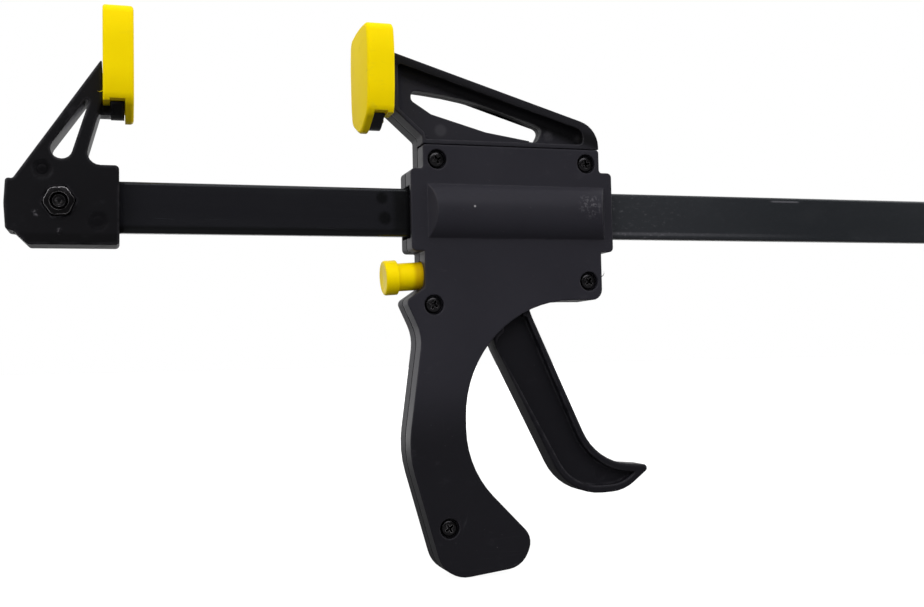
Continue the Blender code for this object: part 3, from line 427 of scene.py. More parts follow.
def bar_paint():
    paint = Finish("bar_black_coat")
    along, height = paint.axis(0), paint.axis(2)
    drawn = paint.noise(900, 3.0, (0.02, 1, 1), 0.6)
    cloud = paint.noise(55, 4.0, (0.7, 1, 1.4), 0.6, (0.4, 0.1, 0.2))
    hazy = paint.between(cloud, 0.50, 0.72)
    slid = paint.between(along, 0.180, 0.200)
    chafed = slid * paint.between(along, 0.245, 0.190)
    scratch = hairlines(paint, 90, (0.10, 1, 3.0), 0.54, (0.6, 0.2, 0.9))
    nicks = hairlines(paint, 120, (1.4, 1, 0.3), 0.60, (2.6, 1.2, 0.3))
    chips = paint.between(paint.noise(700, 3.0, (0.6, 1, 1), 0.7, (1.2, 0, 0)), 0.56, 0.72)
    smears = paint.spots(smear_places)
    low_rail = paint.between(paint.unsigned(height - low_rail_height), 0.0010, 0.0003)
    top_rail = paint.between(paint.unsigned(height - top_rail_height), 0.0006, 0.0001)
    # painted highlight: a short bright streak on the top edge
    streak = paint.spot(highlight_streak_middle, highlight_streak_long, 0.3) * top_rail * 0.6
    used = slid * paint.between(along, 0.310, 0.195)
    # the lower rail is wear and a painted highlight; the streak is a painted highlight
    rail_wear_and_highlight = low_rail * used * (0.35 + chips * 0.65) + streak
    # painted shade along the lower edge where the coat is not scuffed
    foot = paint.between(height, -0.0606, -0.0620) * (1 - slid)
    # painted shadow starting just before the housing's collar
    painted_collar_shadow = paint.between(along, 0.0985, 0.1020) * (1 - slid)
    coat = paint.blend(slid, (0.0096, 0.0094, 0.0120, 1), (0.0140, 0.0158, 0.0192, 1))
    aged = paint.blend(used * 0.80, coat, (0.0270, 0.0285, 0.0330, 1))
    # painted shade on the lower edge and before the collar
    footed = paint.blend(foot * 0.85 + painted_collar_shadow * 0.75, aged, shade(0.0022, 1.0))
    hazed = paint.blend(hazy * (0.01 + slid * 0.09), footed, (0.048, 0.050, 0.056, 1))
    lined = paint.blend((scratch * 0.16 + nicks * 0.08) * (0.10 + slid * 0.90), hazed, shade(0.12, 1.05))
    chipped = paint.blend(chips * (0.01 + slid * 0.03 + chafed * 0.42), lined, shade(0.14, 1.05))
    # lightens the rails: wear with a painted highlight, and the painted highlight streak
    rubbed = paint.blend(rail_wear_and_highlight * 0.85, chipped, shade(0.150, 1.08))
    smeared = paint.blend(smears * 0.8, rubbed, shade(0.0012, 1.0))
    rough = 0.17 + hazy * 0.04 + slid * 0.10 + drawn * 0.08 + scratch * 0.08 + chips * slid * 0.10
    pulled = paint.bump(drawn, 0.00003, 0.30, paint.rounded(0.0012))
    rolled = paint.bump(paint.noise(60, 2.0), 0.0003, 0.05, pulled)
    return paint.set(Base_Color=smeared, Roughness=rough, Normal=rolled,
                     Specular_IOR_Level=0.45, Specular_Tint=(0.90, 0.95, 1.0, 1))


bar_coat = bar_paint()
print("bar finish:", bar_coat.name)

# %% [markdown]
# ## Blackened and bare steel
# Screws, nut and bolt are steel dipped in a black oxide bath. The oxide wears off on
# edges and on the cross where a driver has turned, so metal shines there. The plates
# and springs inside are bare: ground plate and drawn wire. All are metallic, and
# differ in colour, roughness and the direction of their fine lines.

# %% The steel finishes
def steel(name, dark, bare, rough, lines, oxide, shift=(0, 0, 0), reach=0.00035):
    metal = Finish(name, shift=shift)
    cloud, ground = metal.noise(300, 4.0), metal.noise(2200, 2.0, lines)
    pits = metal.between(metal.noise(1300), 0.60, 0.70)
    worn = metal.edges(reach) * metal.between(cloud, 0.30, 0.55)
    base = metal.blend(cloud, shade(dark * 0.8, 1.05), shade(dark * 1.25, 1.03))
    rubbed = metal.blend(worn * oxide, base, shade(bare))
    pitted = metal.blend(pits * 0.4, rubbed, shade(dark * 0.5))
    gloss = rough + cloud * 0.14 - worn * 0.10 + pits * 0.15
    fine = metal.bump(ground, 0.00003, 0.35)
    return metal.set(Base_Color=pitted, Roughness=gloss, Normal=fine, Metallic=1.0)


screw_oxide = steel("screw_black_oxide", 0.055, 0.85, 0.18, (1, 1, 1), 0.95)
nut_oxide = steel("nut_black_oxide", 0.026, 0.80, 0.28, (1, 1, 1), 0.90, (1.1, 0, 0), 0.0006)
bolt_oxide = steel("bolt_black_oxide", 0.026, 0.50, 0.32, (1, 1, 1), 0.65, (0, 1.4, 0.2))
pin_steel = steel("pin_steel", 0.16, 0.55, 0.30, (1, 1, 0.1), 0.5, (0.3, 2.0, 0))
lever_plate_steel = steel("lever_plate_steel", 0.30, 0.55, 0.34, (1, 0.05, 1), 0.5, (0, 0.7, 0))
spring_wire_steel = steel("spring_wire_steel", 0.42, 0.60, 0.26, (0.1, 1, 1), 0.4, (0, 0, 0.9))
print("steel finishes: 6")

# %% [markdown]
# ## Tools for modelling in edit mode
# Blender's operators act on whatever is selected, and loading the frame leaves
# everything selected. So each step below starts by deselecting all, opens one piece
# in edit mode, and picks its faces or edges by where they lie. A finished piece has
# its place in its mesh and its object at the origin, as the CAD nodes do.

# %% Pick, open and close a piece
def work_on(piece):
    """Leaves only this piece selected and active, in object mode."""
    if bpy.context.object and bpy.context.object.mode != "OBJECT":
        bpy.ops.object.mode_set(mode="OBJECT")
    bpy.ops.object.select_all(action="DESELECT")
    piece.select_set(True)
    bpy.context.view_layer.objects.active = piece


def open_up(piece):
    work_on(piece)
    bpy.ops.object.mode_set(mode="EDIT")


def pick(piece, kind, test):
    """Selects the vertices, edges or faces that pass a test, and nothing else."""
    bpy.ops.mesh.select_mode(type=kind)
    bpy.ops.mesh.select_all(action="DESELECT")
    shape = bmesh.from_edit_mesh(piece.data)
    found = [part for part in {"VERT": shape.verts, "EDGE": shape.edges, "FACE": shape.faces}[kind]
             if test(part)]
    for part in found:
        part.select_set(True)
    shape.select_flush_mode()
    bmesh.update_edit_mesh(piece.data)
    return len(found)


def middle_of(part):
    """The middle of an edge or a face."""
    return sum((vert.co for vert in part.verts), Vector()) / len(part.verts)


def looks_up(face):
    return face.normal.z > 0.9


def looks_down(face):
    return face.normal.z < -0.9


print("ready to pick")

# %% [markdown]
# Most sizes from here on are in millimetres, as on a drawing. Each of the next
# functions is little more than one operator that takes them, so a step reads as what
# a worker does: round, inset, extrude, widen, carve.

# %% Shape what is picked
def bevel(reach, segments, clamp=False):
    bpy.ops.mesh.bevel(offset=reach * millimetre, segments=segments, profile=0.5, affect="EDGES",
                       clamp_overlap=clamp)


def inset(narrower, higher=0):
    bpy.ops.mesh.inset(thickness=narrower * millimetre, depth=higher * millimetre)


def extrude(higher=0):
    bpy.ops.mesh.extrude_region_move(TRANSFORM_OT_translate={"value": (0, 0, higher * millimetre)})


def move_up(higher):
    bpy.ops.transform.translate(value=(0, 0, higher * millimetre))


def widen(factor):
    bpy.ops.transform.resize(value=(factor, factor, 1))


def apply_place():
    """Puts the place, turn and scale of the active piece into its mesh."""
    bpy.ops.object.transform_apply(location=True, rotation=True, scale=True)


def newest(name):
    """The piece that an operator has just added, named, with its place in its mesh."""
    bpy.context.object.name = name
    apply_place()
    return bpy.context.object


def settle(piece, angle=40):
    """Merges doubles, turns faces outward, shades by angle and puts the place in the mesh."""
    open_up(piece)
    bpy.ops.mesh.select_all(action="SELECT")
    bpy.ops.mesh.remove_doubles(threshold=0.000002)
    bpy.ops.mesh.normals_make_consistent(inside=False)
    work_on(piece)
    apply_place()
    bpy.ops.object.shade_smooth_by_angle(angle=math.radians(angle))


print("ready to shape")

# %% Make, cut, copy and dress solids
def carve(piece, cutter, operation="DIFFERENCE"):
    """Cuts one piece with another and throws the cutter away."""
    work_on(piece)
    cut = piece.modifiers.new("carve", "BOOLEAN")
    cut.object = cutter
    cut.operation = operation
    cut.solver = "EXACT"
    bpy.ops.object.modifier_apply(modifier=cut.name)
    bpy.data.objects.remove(cutter, do_unlink=True)


def block(name, low, high):
    """A box between two corners."""
    low, high = Vector(low) * millimetre, Vector(high) * millimetre
    bpy.ops.mesh.primitive_cube_add(size=1, location=(low + high) / 2, scale=high - low)
    return newest(name)


def disc(name, radius, place, depth, steps=64, axis="Y"):
    """A round bar along Y or Z, whose middle is at a place."""
    lean = (math.pi / 2, 0, 0) if axis == "Y" else (0, 0, 0)
    bpy.ops.mesh.primitive_cylinder_add(vertices=steps, radius=radius * millimetre, depth=depth * millimetre,
                                        location=Vector(place) * millimetre, rotation=lean)
    return newest(name)


def copy_of(piece, name):
    """A copy with its own mesh."""
    twin = piece.copy()
    twin.data = piece.data.copy()
    twin.name = twin.data.name = name
    bpy.context.scene.collection.objects.link(twin)
    return twin


def wear(piece, material):
    piece.data.materials.clear()
    piece.data.materials.append(material)


print("tools ready")

# %% [markdown]
# ## The pads
# A pad is a cap of soft vinyl: an outline with ten gentle corners, 11 mm thick,
# hollow from below so that it slips over the jaw's plate. The outline could be drawn
# as a curve, but cutting a block with slanted planes shows how each corner arises,
# and each corner then gets its own rounding. The pocket is carved last, because a
# bevel runs badly over a thin wall.

# %% Cut the pad's outline
pad_corners = ((0.0, 20.6, 6.0), (15.6, 19.2, 3.6), (17.3, 9.0, 3.5),
               (16.8, -8.0, 3.0), (15.0, -16.6, 3.0), (0.0, -23.4, 5.0))
pad_thick = 11.0


def slice_off(piece, first, second, side):
    """Bisects the block along the line between two corners and drops what lies outside."""
    across = side * (second[0] - first[0])
    up = second[1] - first[1]
    outward = Vector((0, up * -side, across * side)).normalized()
    if outward.dot(Vector((0, side * first[0], first[1]))) < 0:
        outward = -outward
    place = Vector((0, side * first[0], first[1])) * millimetre
    bpy.ops.mesh.select_all(action="SELECT")
    bpy.ops.mesh.bisect(plane_co=place, plane_no=outward, use_fill=True, clear_outer=True)


pad = block("pad", (-pad_thick, -18.5, -24.5), (0, 18.5, 22.0))
open_up(pad)
for side in (-1, 1):
    for first, second in zip(pad_corners, pad_corners[1:]):
        slice_off(pad, first, second, side)
print("pad outline:", len(bmesh.from_edit_mesh(pad.data).verts), "corners")

# %% [markdown]
# Every corner edge runs through the pad's thickness. Its rounding is given as the
# distance that the arc eats from each side, which is what the bevel's offset means.
# The rims come after the corners, so that they follow the round outline.

# %% Round the pad
def corner_at(across, up):
    """Edges that run through the pad's thickness at one corner of its outline."""
    corner = Vector((across, up)) * millimetre

    def test(edge):
        first, last = (vert.co for vert in edge.verts)
        through = abs(first.x - last.x) > 0.9 * pad_thick * millimetre
        return through and (first.yz - corner).length < 0.0006

    return test


def rim_at(place):
    """Edges of the flat end that lies at this place along X."""
    return lambda edge: all(abs(vert.co.x - place * millimetre) < 1e-6 for vert in edge.verts)


for across, up, reach in pad_corners:
    for side in (1, -1) if across else (1,):
        if pick(pad, "EDGE", corner_at(side * across, up)):
            bevel(reach, 7)
for place, reach in ((0.0, 1.3), (-pad_thick, 0.9)):
    pick(pad, "EDGE", rim_at(place))
    bevel(reach, 4, clamp=True)
work_on(pad)
print("pad faces:", len(pad.data.polygons))

# %% [markdown]
# The hollow has straight sides, so the pad can be pulled up off its plate. A slot in
# the back lets the jaw's neck pass, and the side walls end above the pad's foot,
# where the plate's own foot shows below them.

# %% Hollow the pad
pocket_back, pocket_front = -8.6, -3.1
pocket = block("pocket", (pocket_back, -8.0, -30.0), (pocket_front, 8.0, 17.0))
open_up(pocket)
pick(pocket, "EDGE", lambda edge: all(vert.co.z > 0.016 for vert in edge.verts)
     and abs(edge.verts[0].co.x - edge.verts[1].co.x) > 0.001)
bevel(2.0, 4)
carve(pad, pocket)
carve(pad, block("mouth", (pocket_back, -22, -31), (pocket_front, 22, -15.71)))
carve(pad, block("back_foot", (-14, -23, -32), (-8.3, 23, -16.45)))
carve(pad, block("neck_slot", (-14.5, -4.3, -33), (-8.2, 4.3, 8.0)))
settle(pad, 35)
print("hollow pad:", len(pad.data.polygons), "faces")

# %% [markdown]
# Both pads come from one mould. The second is a copy with its own mesh, turned half
# round and set on the moving jaw.

# %% Set both pads
jaws_apart = 0.0873
moving_pad = copy_of(pad, "moving_pad_cap")
moving_pad.rotation_euler = (0, 0, math.pi)
moving_pad.location = (jaws_apart, 0, 0)
settle(moving_pad, 35)
pad.name = "fixed_pad_cap"
wear(pad, fixed_pad_yellow)
wear(moving_pad, moving_pad_yellow)
for cap, body, node in ((pad, "fixed_pad", "fixed_pad"), (moving_pad, "moving_pad", "moving_pad")):
    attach(cap, body)
    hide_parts(node)

# %% [markdown]
# ## The bar
# The bar is flat steel with its four long edges rolled round, and that rounding is
# what catches the lamp as one thin bright line. A block gets a six-step bevel along
# those edges only, and a smaller one round the sawn ends.

# %% Roll the bar
bar_low, bar_high = (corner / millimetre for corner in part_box("slide_bar"))
bar = block("painted_bar", bar_low, bar_high)
open_up(bar)
pick(bar, "EDGE", lambda edge: abs(edge.verts[0].co.x - edge.verts[1].co.x) > 0.1)
bevel(1.2, 6)
near_end, far_end = rim_at(bar_low.x), rim_at(bar_high.x)
pick(bar, "EDGE", lambda edge: near_end(edge) or far_end(edge))
bevel(0.3, 2)
settle(bar, 50)
wear(bar, bar_coat)
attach(bar, "bar")
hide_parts("slide_bar")
print("bar length", round((bar_high.x - bar_low.x), 1), "mm")

# %% [markdown]
# ## One screw, five times
# The cover's screws have a domed head with a cross recess, and a thread that cuts its
# way into the post. The dome is made by insetting the top face again and again, each
# time a little higher. The recess is carved by a cross that narrows downwards, as the
# tip of a driver does. The thread is one small triangle swept by a Screw modifier.

# %% Turn the head
screw_head, shank_inset, shank_long, tip_long = 3.2, 1.75, 11.6, 1.2
head = disc("screw", screw_head, (0, 0, -0.55), 1.1, 56, "Z")
open_up(head)
pick(head, "FACE", looks_up)
for narrower, higher in ((0.16, 0.22), (0.35, 0.22), (0.50, 0.14), (0.65, 0.08)):
    inset(narrower, higher)
pick(head, "FACE", looks_down)
inset(shank_inset)
extrude(-shank_long)
extrude(-tip_long)
widen(0.25)
work_on(head)
print("screw blank:", len(head.data.polygons), "faces")

# %% Carve the cross
arm_long, arm_wide, cross_deep = 2.15, 0.56, 1.7
for turned_by in (0, math.pi / 2):
    blade = block("blade", (-arm_long, -arm_wide, -cross_deep), (arm_long, arm_wide, 1.5))
    open_up(blade)
    pick(blade, "VERT", lambda vert: vert.co.z < 0)
    bpy.ops.transform.resize(value=(0.42, 0.45, 1), center_override=(0, 0, -cross_deep * millimetre))
    work_on(blade)
    blade.rotation_euler = (0, 0, turned_by)
    apply_place()
    carve(head, blade)
print("screw head:", len(head.data.polygons), "faces")

# %% Sweep the thread
def sweep_thread(shank, ridge, place, turns, rise, steps):
    """Winds a small triangle along a shank and joins the two."""
    bpy.ops.mesh.primitive_circle_add(vertices=3, radius=ridge * millimetre, fill_type="NGON",
                                      location=Vector(place) * millimetre, rotation=(math.pi / 2, 0, 0))
    thread = newest("thread")
    sweep = thread.modifiers.new("sweep", "SCREW")
    sweep.axis = "Z"
    sweep.angle = 2 * math.pi * turns
    sweep.screw_offset = rise * millimetre
    sweep.steps = sweep.render_steps = turns * steps
    bpy.ops.object.modifier_apply(modifier=sweep.name)
    work_on(shank)
    thread.select_set(True)
    bpy.ops.object.join()


sweep_thread(head, 0.30, (1.52, 0, -11.8), 9, 9.2, 20)
settle(head, 38)
print("threaded screw:", len(head.data.polygons), "faces")

# %% [markdown]
# Real screws never stop at the same angle, so each copy is rolled by its own amount
# before it is laid over to face the front of the cover.

# %% Drive the five screws
screw_rolls, dome_high = (22, 8, 50, 64, 35), 0.0007
for number, roll in enumerate(screw_rolls, 1):
    node = "cover_screw_%d" % number
    low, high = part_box(node)
    screw = copy_of(head, "cross_screw_%d" % number)
    lie = Matrix.Rotation(math.pi / 2, 4, "X") @ Matrix.Rotation(math.radians(roll), 4, "Z")
    place = Vector(((low.x + high.x) / 2, low.y + dome_high, (low.z + high.z) / 2))
    screw.matrix_world = Matrix.Translation(place) @ lie
    settle(screw, 38)
    wear(screw, screw_oxide)
    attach(screw, "moving_jaw")
    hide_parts(node)
bpy.data.objects.remove(head, do_unlink=True)
print("five screws driven")

# %% [markdown]
# ## The nut and the bolt's end
# The fixed jaw hangs on one bolt, whose nut is sunk deep in a hexagonal pocket. A
# nut is a six-sided bar whose corners have been turned off, so a hexagonal cylinder
# is intersected with a round one that has bevelled rims. Its bore gets a countersink.

# %% Cut the nut
nut_low, nut_high = (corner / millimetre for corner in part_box("jaw_nut"))
nut_middle = (nut_low + nut_high) / 2
nut_across, nut_thick = 10.0, nut_high.y - nut_low.y
nut = disc("zinc_nut", nut_across / 2 / math.cos(math.pi / 6), (0, 0, 0), nut_thick, 6, "Z")
nut.rotation_euler = (0, 0, math.radians(34))
work_on(nut)
apply_place()
round_bar = disc("round_bar", nut_across / 2 * 1.125, (0, 0, 0), nut_thick - 0.02, 72, "Z")
open_up(round_bar)
pick(round_bar, "EDGE", lambda edge: abs(edge.verts[0].co.z - edge.verts[1].co.z) < 1e-7)
bevel(0.75, 2)
carve(nut, round_bar, "INTERSECT")
carve(nut, disc("bore", 3.25, (0, 0, 0), 20, 48, "Z"))
sink = disc("sink", 4.1, (0, 0, nut_thick), nut_thick + 0.9, 48, "Z")
open_up(sink)
pick(sink, "FACE", looks_down)
widen(0.78)
carve(nut, sink)
nut.matrix_world = Matrix.Translation(nut_middle * millimetre) @ Matrix.Rotation(math.pi / 2, 4, "X")
settle(nut, 25)
wear(nut, nut_oxide)
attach(nut, "bar")
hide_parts("jaw_nut")
print("nut faces:", len(nut.data.polygons))

# %% [markdown]
# Only the bolt's threaded end shows in the nut, and its domed head on the far side.
# The shank is a cylinder with a chamfered tip and a small centre mark from the lathe.
# The head is inset and lifted step by step, and a hexagonal key hole is sunk in it.

# %% Turn the bolt
bolt_low, bolt_high = (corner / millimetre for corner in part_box("jaw_bolt"))
bolt_middle, bolt_long = (bolt_low + bolt_high) / 2, bolt_high.y - bolt_low.y
bolt_radius, bolt_head, head_thick = 2.75, 5.7, 2.2
bolt = disc("jaw_bolt_turned", bolt_radius, (0, 0, 0), bolt_long, 48, "Z")
open_up(bolt)
pick(bolt, "FACE", looks_up)
inset(0.5)
move_up(0.5)
for narrower, higher in ((0.9, -0.15), (0.35, 0.30), (0.40, -0.35)):
    inset(narrower, higher)
pick(bolt, "FACE", looks_down)
move_up(3.5)
extrude()
widen(bolt_head / bolt_radius)
extrude(-head_thick)
for narrower, higher in ((0.5, 0.55), (1.2, 0.45), (1.4, 0.2)):
    inset(narrower, higher)
work_on(bolt)
carve(bolt, disc("key", 1.9, (0, 0, -bolt_long / 2), 4.2, 6, "Z"))
sweep_thread(bolt, 0.42, (bolt_radius, 0, 3.0), 5, 4.8, 28)
bolt.matrix_world = Matrix.Translation(bolt_middle * millimetre) @ Matrix.Rotation(math.pi / 2, 4, "X")
settle(bolt, 35)
wear(bolt, bolt_oxide)
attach(bolt, "bar")
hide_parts("jaw_bolt")
print("bolt reaches", round(bolt_long, 1), "mm through the jaw")

# %% [markdown]
# ## The release button
# The button is moulded in one piece: a round stem with a broader cap that is easy to
# find without looking. Each part of its profile is one extrude of the end face,
# widened by a resize. Use shows as a shallow dish in the cap.

# %% Turn the button
button_radius, cap_radius, catch_radius = 5.65, 7.0, 6.3
stand, cap_long, inner_end, catch_from = 15.3, 5.3, 4.2, 2.7
stem_long = catch_from + stand - cap_long
button = disc("push_button", button_radius, (0, 0, catch_from - stem_long / 2), stem_long, 72, "Z")
open_up(button)
for direction, radius, reach in ((-1, cap_radius, cap_long), (1, catch_radius, inner_end - catch_from)):
    pick(button, "FACE", lambda face: face.normal.z * direction > 0.9 and middle_of(face).z * direction > 0)
    extrude()
    widen(radius / button_radius)
    extrude(direction * reach)
pick(button, "FACE", lambda face: looks_down(face) and middle_of(face).z < -0.015)
inset(1.9)
inset(0.5, -0.18)


def ring_at(height, radius):
    """Edges of one circle of the turned profile."""
    return lambda edge: all(abs(vert.co.z - height * millimetre) < 1e-5
                            and abs(vert.co.xy.length - radius * millimetre) < 1e-4 for vert in edge.verts)


for height, radius, reach in ((-stand, cap_radius, 0.8), (cap_long - stand, cap_radius, 0.35),
                              (inner_end, catch_radius, 0.3)):
    pick(button, "EDGE", ring_at(height, radius))
    bevel(reach, 4)
button_seat, droop = (0.1112, 0, -0.0799), math.radians(3.4)
button.matrix_world = Matrix.Translation(button_seat) @ Matrix.Rotation(math.pi / 2 - droop, 4, "Y")
settle(button, 45)
wear(button, button_yellow)
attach(button, "release_button")
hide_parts("release_button")
print("button faces:", len(button.data.polygons))

# %% [markdown]
# ## The moulded nylon pieces
# Both jaws, the cover and the trigger have walls, ribs, windows and a hollow that
# the CAD model already states exactly, so modelling them a second time would only
# lose accuracy. Each is a copy of its CAD mesh instead. That mesh is loose triangles:
# they are merged, flat neighbours are dissolved, and a Weighted Normal modifier lets
# the large flats stay flat while the rounded edges between them shade softly.

# %% Copy and refine a moulded piece
def moulded(node, name, body, material):
    piece = copy_of(frame["nodes"][node], name)
    piece.parent = None
    piece.matrix_world = Matrix.Identity(4)
    work_on(piece)
    bpy.ops.mesh.customdata_custom_splitnormals_clear()
    open_up(piece)
    bpy.ops.mesh.select_all(action="SELECT")
    bpy.ops.mesh.remove_doubles(threshold=0.000001)
    bpy.ops.mesh.dissolve_limited(angle_limit=math.radians(0.4))
    work_on(piece)
    wear(piece, material)
    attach(piece, body)
    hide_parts(node)
    return piece


def soften(piece, angle=48):
    """Shades by angle and lets the large flats rule their neighbours' normals."""
    work_on(piece)
    bpy.ops.object.shade_smooth_by_angle(angle=math.radians(angle))
    weigh = piece.modifiers.new("weigh", "WEIGHTED_NORMAL")
    weigh.keep_sharp = True
    weigh.weight = 60
    bpy.ops.object.modifier_apply(modifier=weigh.name)
    print(piece.name, len(piece.data.polygons), "faces")


fixed_jaw = moulded("fixed_jaw", "fixed_jaw_moulding", "bar", jaw_nylon)
housing = moulded("jaw_body", "housing_moulding", "moving_jaw", housing_nylon)
cover = moulded("front_cover", "cover_moulding", "moving_jaw", cover_nylon)
trigger = moulded("trigger", "trigger_moulding", "trigger", trigger_nylon)
print("moulded pieces copied")

# %% [markdown]
# Round marks up to a quarter of a millimetre deep show where the mould's ejector
# pins pushed each piece out, and a small pip is left where the plastic flowed in.
# They make a black surface look moulded, so they are carved and not painted.

# %% Leave the mould's marks
def pin_mark(piece, across, up, face, radius, deep=0.12):
    """A flat round dent with a ring round its middle."""
    carve(piece, disc("mark", radius, (across, face, up), 2 * deep, 40))
    ring = disc("ring", radius * 0.62, (across, face + deep, up), 2 * deep, 36)
    core = disc("core", radius * 0.48, (across, face + deep, up), 4 * deep, 36)
    carve(ring, core)
    carve(piece, ring)


pin_mark(fixed_jaw, -32.3, -41.5, -8.0, 3.5, 0.26)
pin_mark(fixed_jaw, -13.0, -60.4, -8.0, 3.6, 0.10)
pin_mark(housing, 120.2, -20.5, -3.5, 2.4)
pin_mark(housing, 167.0, -20.8, -3.5, 2.4)
pin_mark(trigger, 186.8, -163.5, -2.4, 2.3)
gate = disc("gate", 0.7, (-26.2, -8.0, -64.3), 0.5, 24)
carve(fixed_jaw, gate, "UNION")
print("marks left")

# %% [markdown]
# The grip is hollow, and its two halves only touch at the rim. One thin rib across
# the hollow stiffens it, and keeps light from falling through the parting line.

# %% Add the grip's rib
rib_low, rib_high = (124.35, -4.0, -200.0), (125.05, 7.5, -112.0)
carve(housing, block("rib", rib_low, rib_high), "UNION")
print("housing with its rib:", len(housing.data.polygons), "faces")

# %% [markdown]
# The strip below the arm's long window is a little broader at its middle than the
# plain solid has it. Two blocks with sloping tops are joined to it, exactly as thick
# as the arm's thin wall, so nothing of them shows but the new edge.

# %% Fill the window's lower edge
def sloped(name, low, high, drop):
    """A block whose top falls by some millimetres towards the rear."""
    piece = block(name, low, high)
    open_up(piece)
    pick(piece, "VERT", lambda vert: abs(vert.co.z - high[2] * millimetre) < 1e-6
         and abs(vert.co.x - high[0] * millimetre) < 1e-6)
    move_up(-drop)
    work_on(piece)
    return piece


for low, high, drop in (((115.9, -3.5, -24.4), (139.7, 3.5, -13.95), 6.68),
                        ((139.6, -3.5, -24.4), (158.6, 3.5, -20.60), 2.95)):
    carve(housing, sloped("sill", low, high, drop), "UNION")
print("housing faces:", len(housing.data.polygons))

# %% [markdown]
# The trigger's recess runs on under the edge of the case, so no rim crosses it where
# the trigger comes out. A block as deep as the recess opens its upper end.

# %% Open the trigger's recess
recess_low, recess_high = (144.6, -7.0, -105.0), (153.4, -2.4, -92.5)
carve(trigger, block("recess_end", recess_low, recess_high))
print("trigger faces:", len(trigger.data.polygons))

# %% [markdown]
# A recess in a moulding never meets its wall at a sharp corner: the mould is milled
# with a round cutter, and the cove it leaves also makes the arm strong. On the arm it
# is wide enough to shade the whole strip below the rim. The corners are found by
# their place and by being hollow, and an edit mode bevel turns them into coves.

# %% Round the coves
def cove(piece, level, reach, segments, test):
    """Rounds the hollow corners between a recess's floor and its walls."""
    open_up(piece)

    def hollow(edge):
        flat = all(abs(abs(vert.co.y) - level * millimetre) < 2e-5 for vert in edge.verts)
        if not flat or len(edge.link_faces) != 2 or edge.is_convex:
            return False
        walls = [face for face in edge.link_faces if abs(face.normal.y) < 0.3]
        return len(walls) == 1 and test(walls[0].normal, middle_of(edge) / millimetre)

    found = pick(piece, "EDGE", hollow)
    bevel(reach, segments)
    print(piece.name, found, "edges rounded")


wall_level, cove_reach, arm_foot = 3.5, 3.2, -26
cove(housing, wall_level, cove_reach, 6, lambda normal, place: place.z > arm_foot and normal.z < 0.25)
for piece in (fixed_jaw, housing, cover, trigger):
    soften(piece)

# %% [markdown]
# ## Flash
# Where the two halves of a mould meet, a little plastic creeps out. The fixed pad has
# a thread of it on its back, and the cover has a curl of it by its rear screw. Each
# starts as a tiny disc whose face is extruded from place to place and narrowed.

# %% Pull the threads of flash
def flash(name, places, radius, body, material):
    """A thread through some places, in millimetres, that ends in a point."""
    places = [Vector(place) * millimetre for place in places]
    ahead = (places[1] - places[0]).normalized()
    bpy.ops.mesh.primitive_circle_add(vertices=8, radius=radius * millimetre, fill_type="NGON",
                                      location=places[0], rotation=ahead.to_track_quat("Z", "Y").to_euler())
    thread = newest(name)
    open_up(thread)
    bpy.ops.mesh.select_all(action="SELECT")
    for start, end in zip(places, places[1:]):
        bpy.ops.mesh.extrude_region_move(TRANSFORM_OT_translate={"value": end - start})
        bpy.ops.transform.resize(value=(0.72, 0.72, 0.72))
    settle(thread, 80)
    wear(thread, material)
    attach(thread, body)
    print(name, len(thread.data.polygons), "faces")


pad_thread = ((-10.4, -13.0, -12.4), (-11.5, -13.0, -13.2), (-12.1, -13.0, -13.4), (-12.8, -13.0, -13.2))
cover_curl = ((187.0, -8.1, -80.9), (188.4, -8.2, -80.2), (188.9, -8.2, -79.3), (188.8, -8.2, -78.5))
flash("pad_flash", pad_thread, 0.16, "fixed_pad", fixed_pad_yellow)
flash("cover_flash", cover_curl, 0.20, "moving_jaw", cover_nylon)

# %% [markdown]
# ## Dressing the plain solids
# A CAD node whose shape is already right keeps its mesh and only gets a finish: all
# of its material slots take the new material. These are the plates and pins that sit
# inside the housing or cross the bar.

# %% Dress the CAD nodes
for node, material in (("trigger_pin", pin_steel), ("bar_stop_pin", pin_steel),
                       ("drive_lever", lever_plate_steel), ("brake_lever", lever_plate_steel)):
    wear(frame["nodes"][node], material)
print("dressed the inner parts")

# %% [markdown]
# ## The springs
# Each lever squeezes its spring against a wall of the housing, and a stiff coil would
# be cut by the moving plate. The turns of a real coil close up evenly. Here each coil
# is copied like a moulding, shaded smoothly and given a mesh of its own.

# %% Copy the springs
for node, joint, travel in (("drive_spring", "trigger_squeeze", 5.0),
                            ("brake_spring", "brake_lever_tilt", 2.3)):
    coil = moulded(node, node.replace("spring", "coil"), "moving_jaw", spring_wire_steel)
    soften(coil, 60)
    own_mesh(coil)

# %% [markdown]
# ## A white table and soft lamps
# The photograph has a white background with no horizon. Turning the lamps up until
# the floor burns out would spoil the black nylon, so the floor and the sky are given
# their white only for the rays that the camera, a reflection or a clear surface
# sends. In reflections the floor is white only behind the clamp, and a dark table
# before it. Diffuse light finds no glow, only that floor and its shadow.

# %% Lay the floor
def background_rays(finish):
    """1 for the rays that should find the white background."""
    path = [finish.node("LightPath", {}, {}, out)
            for out in ("Is Camera Ray", "Is Glossy Ray", "Is Transmission Ray")]
    return finish.node("Math", {"operation": "MINIMUM"}, {0: path[0] + path[1] + path[2], 1: 1.0})


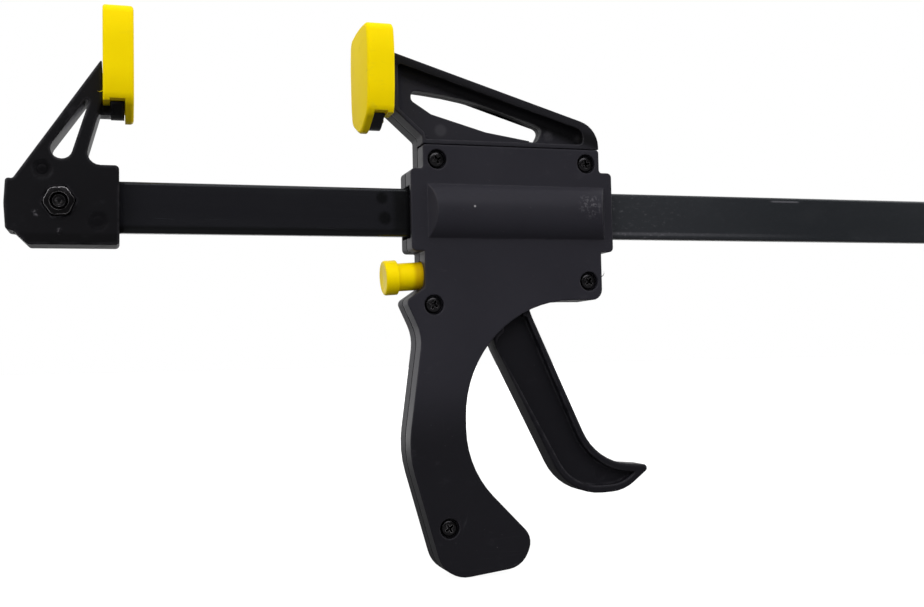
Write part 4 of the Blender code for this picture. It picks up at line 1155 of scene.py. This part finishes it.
def pale_floor():
    pale = Finish("pale_floor")
    behind = pale.between(pale.axis(1), 0.10, 1.40)
    speck = pale.noise(30, 2.0)
    table = pale.blend(speck, (0.55, 0.55, 0.55, 1), (0.58, 0.58, 0.58, 1))
    pale.set(Base_Color=pale.blend(behind, (0.14, 0.14, 0.14, 1), table), Roughness=0.9,
             Specular_IOR_Level=0.1)
    camera_ray = pale.node("LightPath", {}, {}, "Is Camera Ray")
    strength = camera_ray * 0.95 + (1 - camera_ray) * behind * 0.90
    glow = pale.node("Emission", {}, {"Color": (1, 1, 1, 1), "Strength": strength})
    none = pale.node("Emission", {}, {"Color": (0, 0, 0, 1), "Strength": 0.0})
    lift = pale.node("MixShader", {}, {0: background_rays(pale), 1: none, 2: glow})
    whole = pale.node("AddShader", {}, {0: Value(pale, pale.shader.outputs["BSDF"]), 1: lift})
    pale.join(whole, pale.tree.nodes["Material Output"].inputs["Surface"])
    return pale.material


floor_height = cad_box[0][2] - 0.0004
bpy.ops.mesh.primitive_plane_add(size=40, location=(0, 0, floor_height))
floor = newest("floor")
floor.data.materials.append(pale_floor())
print("the floor lies at", round(floor_height, 4))

# %% [markdown]
# ## Lamps
# Product pictures like this one use large soft lamps above, in front and at both
# sides. Area lamps are the natural choice: their size sets how soft a shadow and how
# broad a highlight is. The key lamp stands up on the left, so the left sides of the
# arm and the pads are brighter than their fronts, as in the photograph.

# %% Hang the lamps
def lamp(name, place, aim, wide, high, watts):
    light = bpy.data.lights.new(name, "AREA")
    light.shape = "RECTANGLE"
    light.size = wide
    light.size_y = high
    light.energy = watts
    holder = bpy.data.objects.new(name, light)
    bpy.context.scene.collection.objects.link(holder)
    ahead = (Vector(aim) - Vector(place)).normalized()
    turned = ahead.to_track_quat("-Z", "Y").to_matrix().to_4x4()
    holder.matrix_world = Matrix.Translation(place) @ turned


middle = (0.12, 0.0, -0.06)
lamp("key_lamp", (-1.30, -0.60, 0.80), middle, 1.5, 1.1, 7.0)
lamp("top_lamp", (0.20, 0.05, 1.30), middle, 2.0, 1.0, 1.0)
lamp("front_lamp", (0.10, -1.25, 1.15), middle, 1.4, 0.7, 6.0)
lamp("side_lamp", (1.60, 0.10, 0.55), middle, 1.2, 1.2, 5.0)
print("four lamps hang")

# %% [markdown]
# ## The sky
# The world fills in what the lamps leave dark. For diffuse light its strength is about
# one, with half as much again from the camera's side and less from above, which lifts
# the yellow and leaves the black alone. What the camera sees is 1, which is white. In
# reflections it is white too, except towards the room behind the camera, which is
# dark. That is why the clamp's front faces look nearly black while its sides shine.

# %% Paint the sky
toward_camera = (0.25, -0.968, 0.0)
world = bpy.data.worlds.new("studio_sky")
bpy.context.scene.world = world
sky = Finish("studio_sky", world)
heading = sky.node("TexCoord", {}, {}, "Generated")
toward_room = sky.measure("DOT_PRODUCT", heading, toward_camera)
upward = sky.between(sky.node("SeparateXYZ", {}, {"Vector": heading}, 2), -0.1, 0.7)
room = sky.between(toward_room, -0.05, 0.50)
camera_ray = sky.node("LightPath", {}, {}, "Is Camera Ray")
mirrored = background_rays(sky) - camera_ray
fill = 0.98 + room * 0.50 - upward * 0.34
strength = camera_ray + mirrored * (1 - room * 0.95) + (1 - camera_ray - mirrored) * fill
sky.set(Color=(1, 1, 1, 1), Strength=strength)
bpy.context.scene.view_settings.view_transform = "Standard"
print("sky nodes:", len(world.node_tree.nodes))

# %% [markdown]
# ## Measure and finish
# The dressed clamp must keep the CAD model's size, so the box measured when the model
# was loaded is printed at the end.

# %% Write the sizes
print("CAD box:", [[round(v, 4) for v in corner] for corner in cad_box])
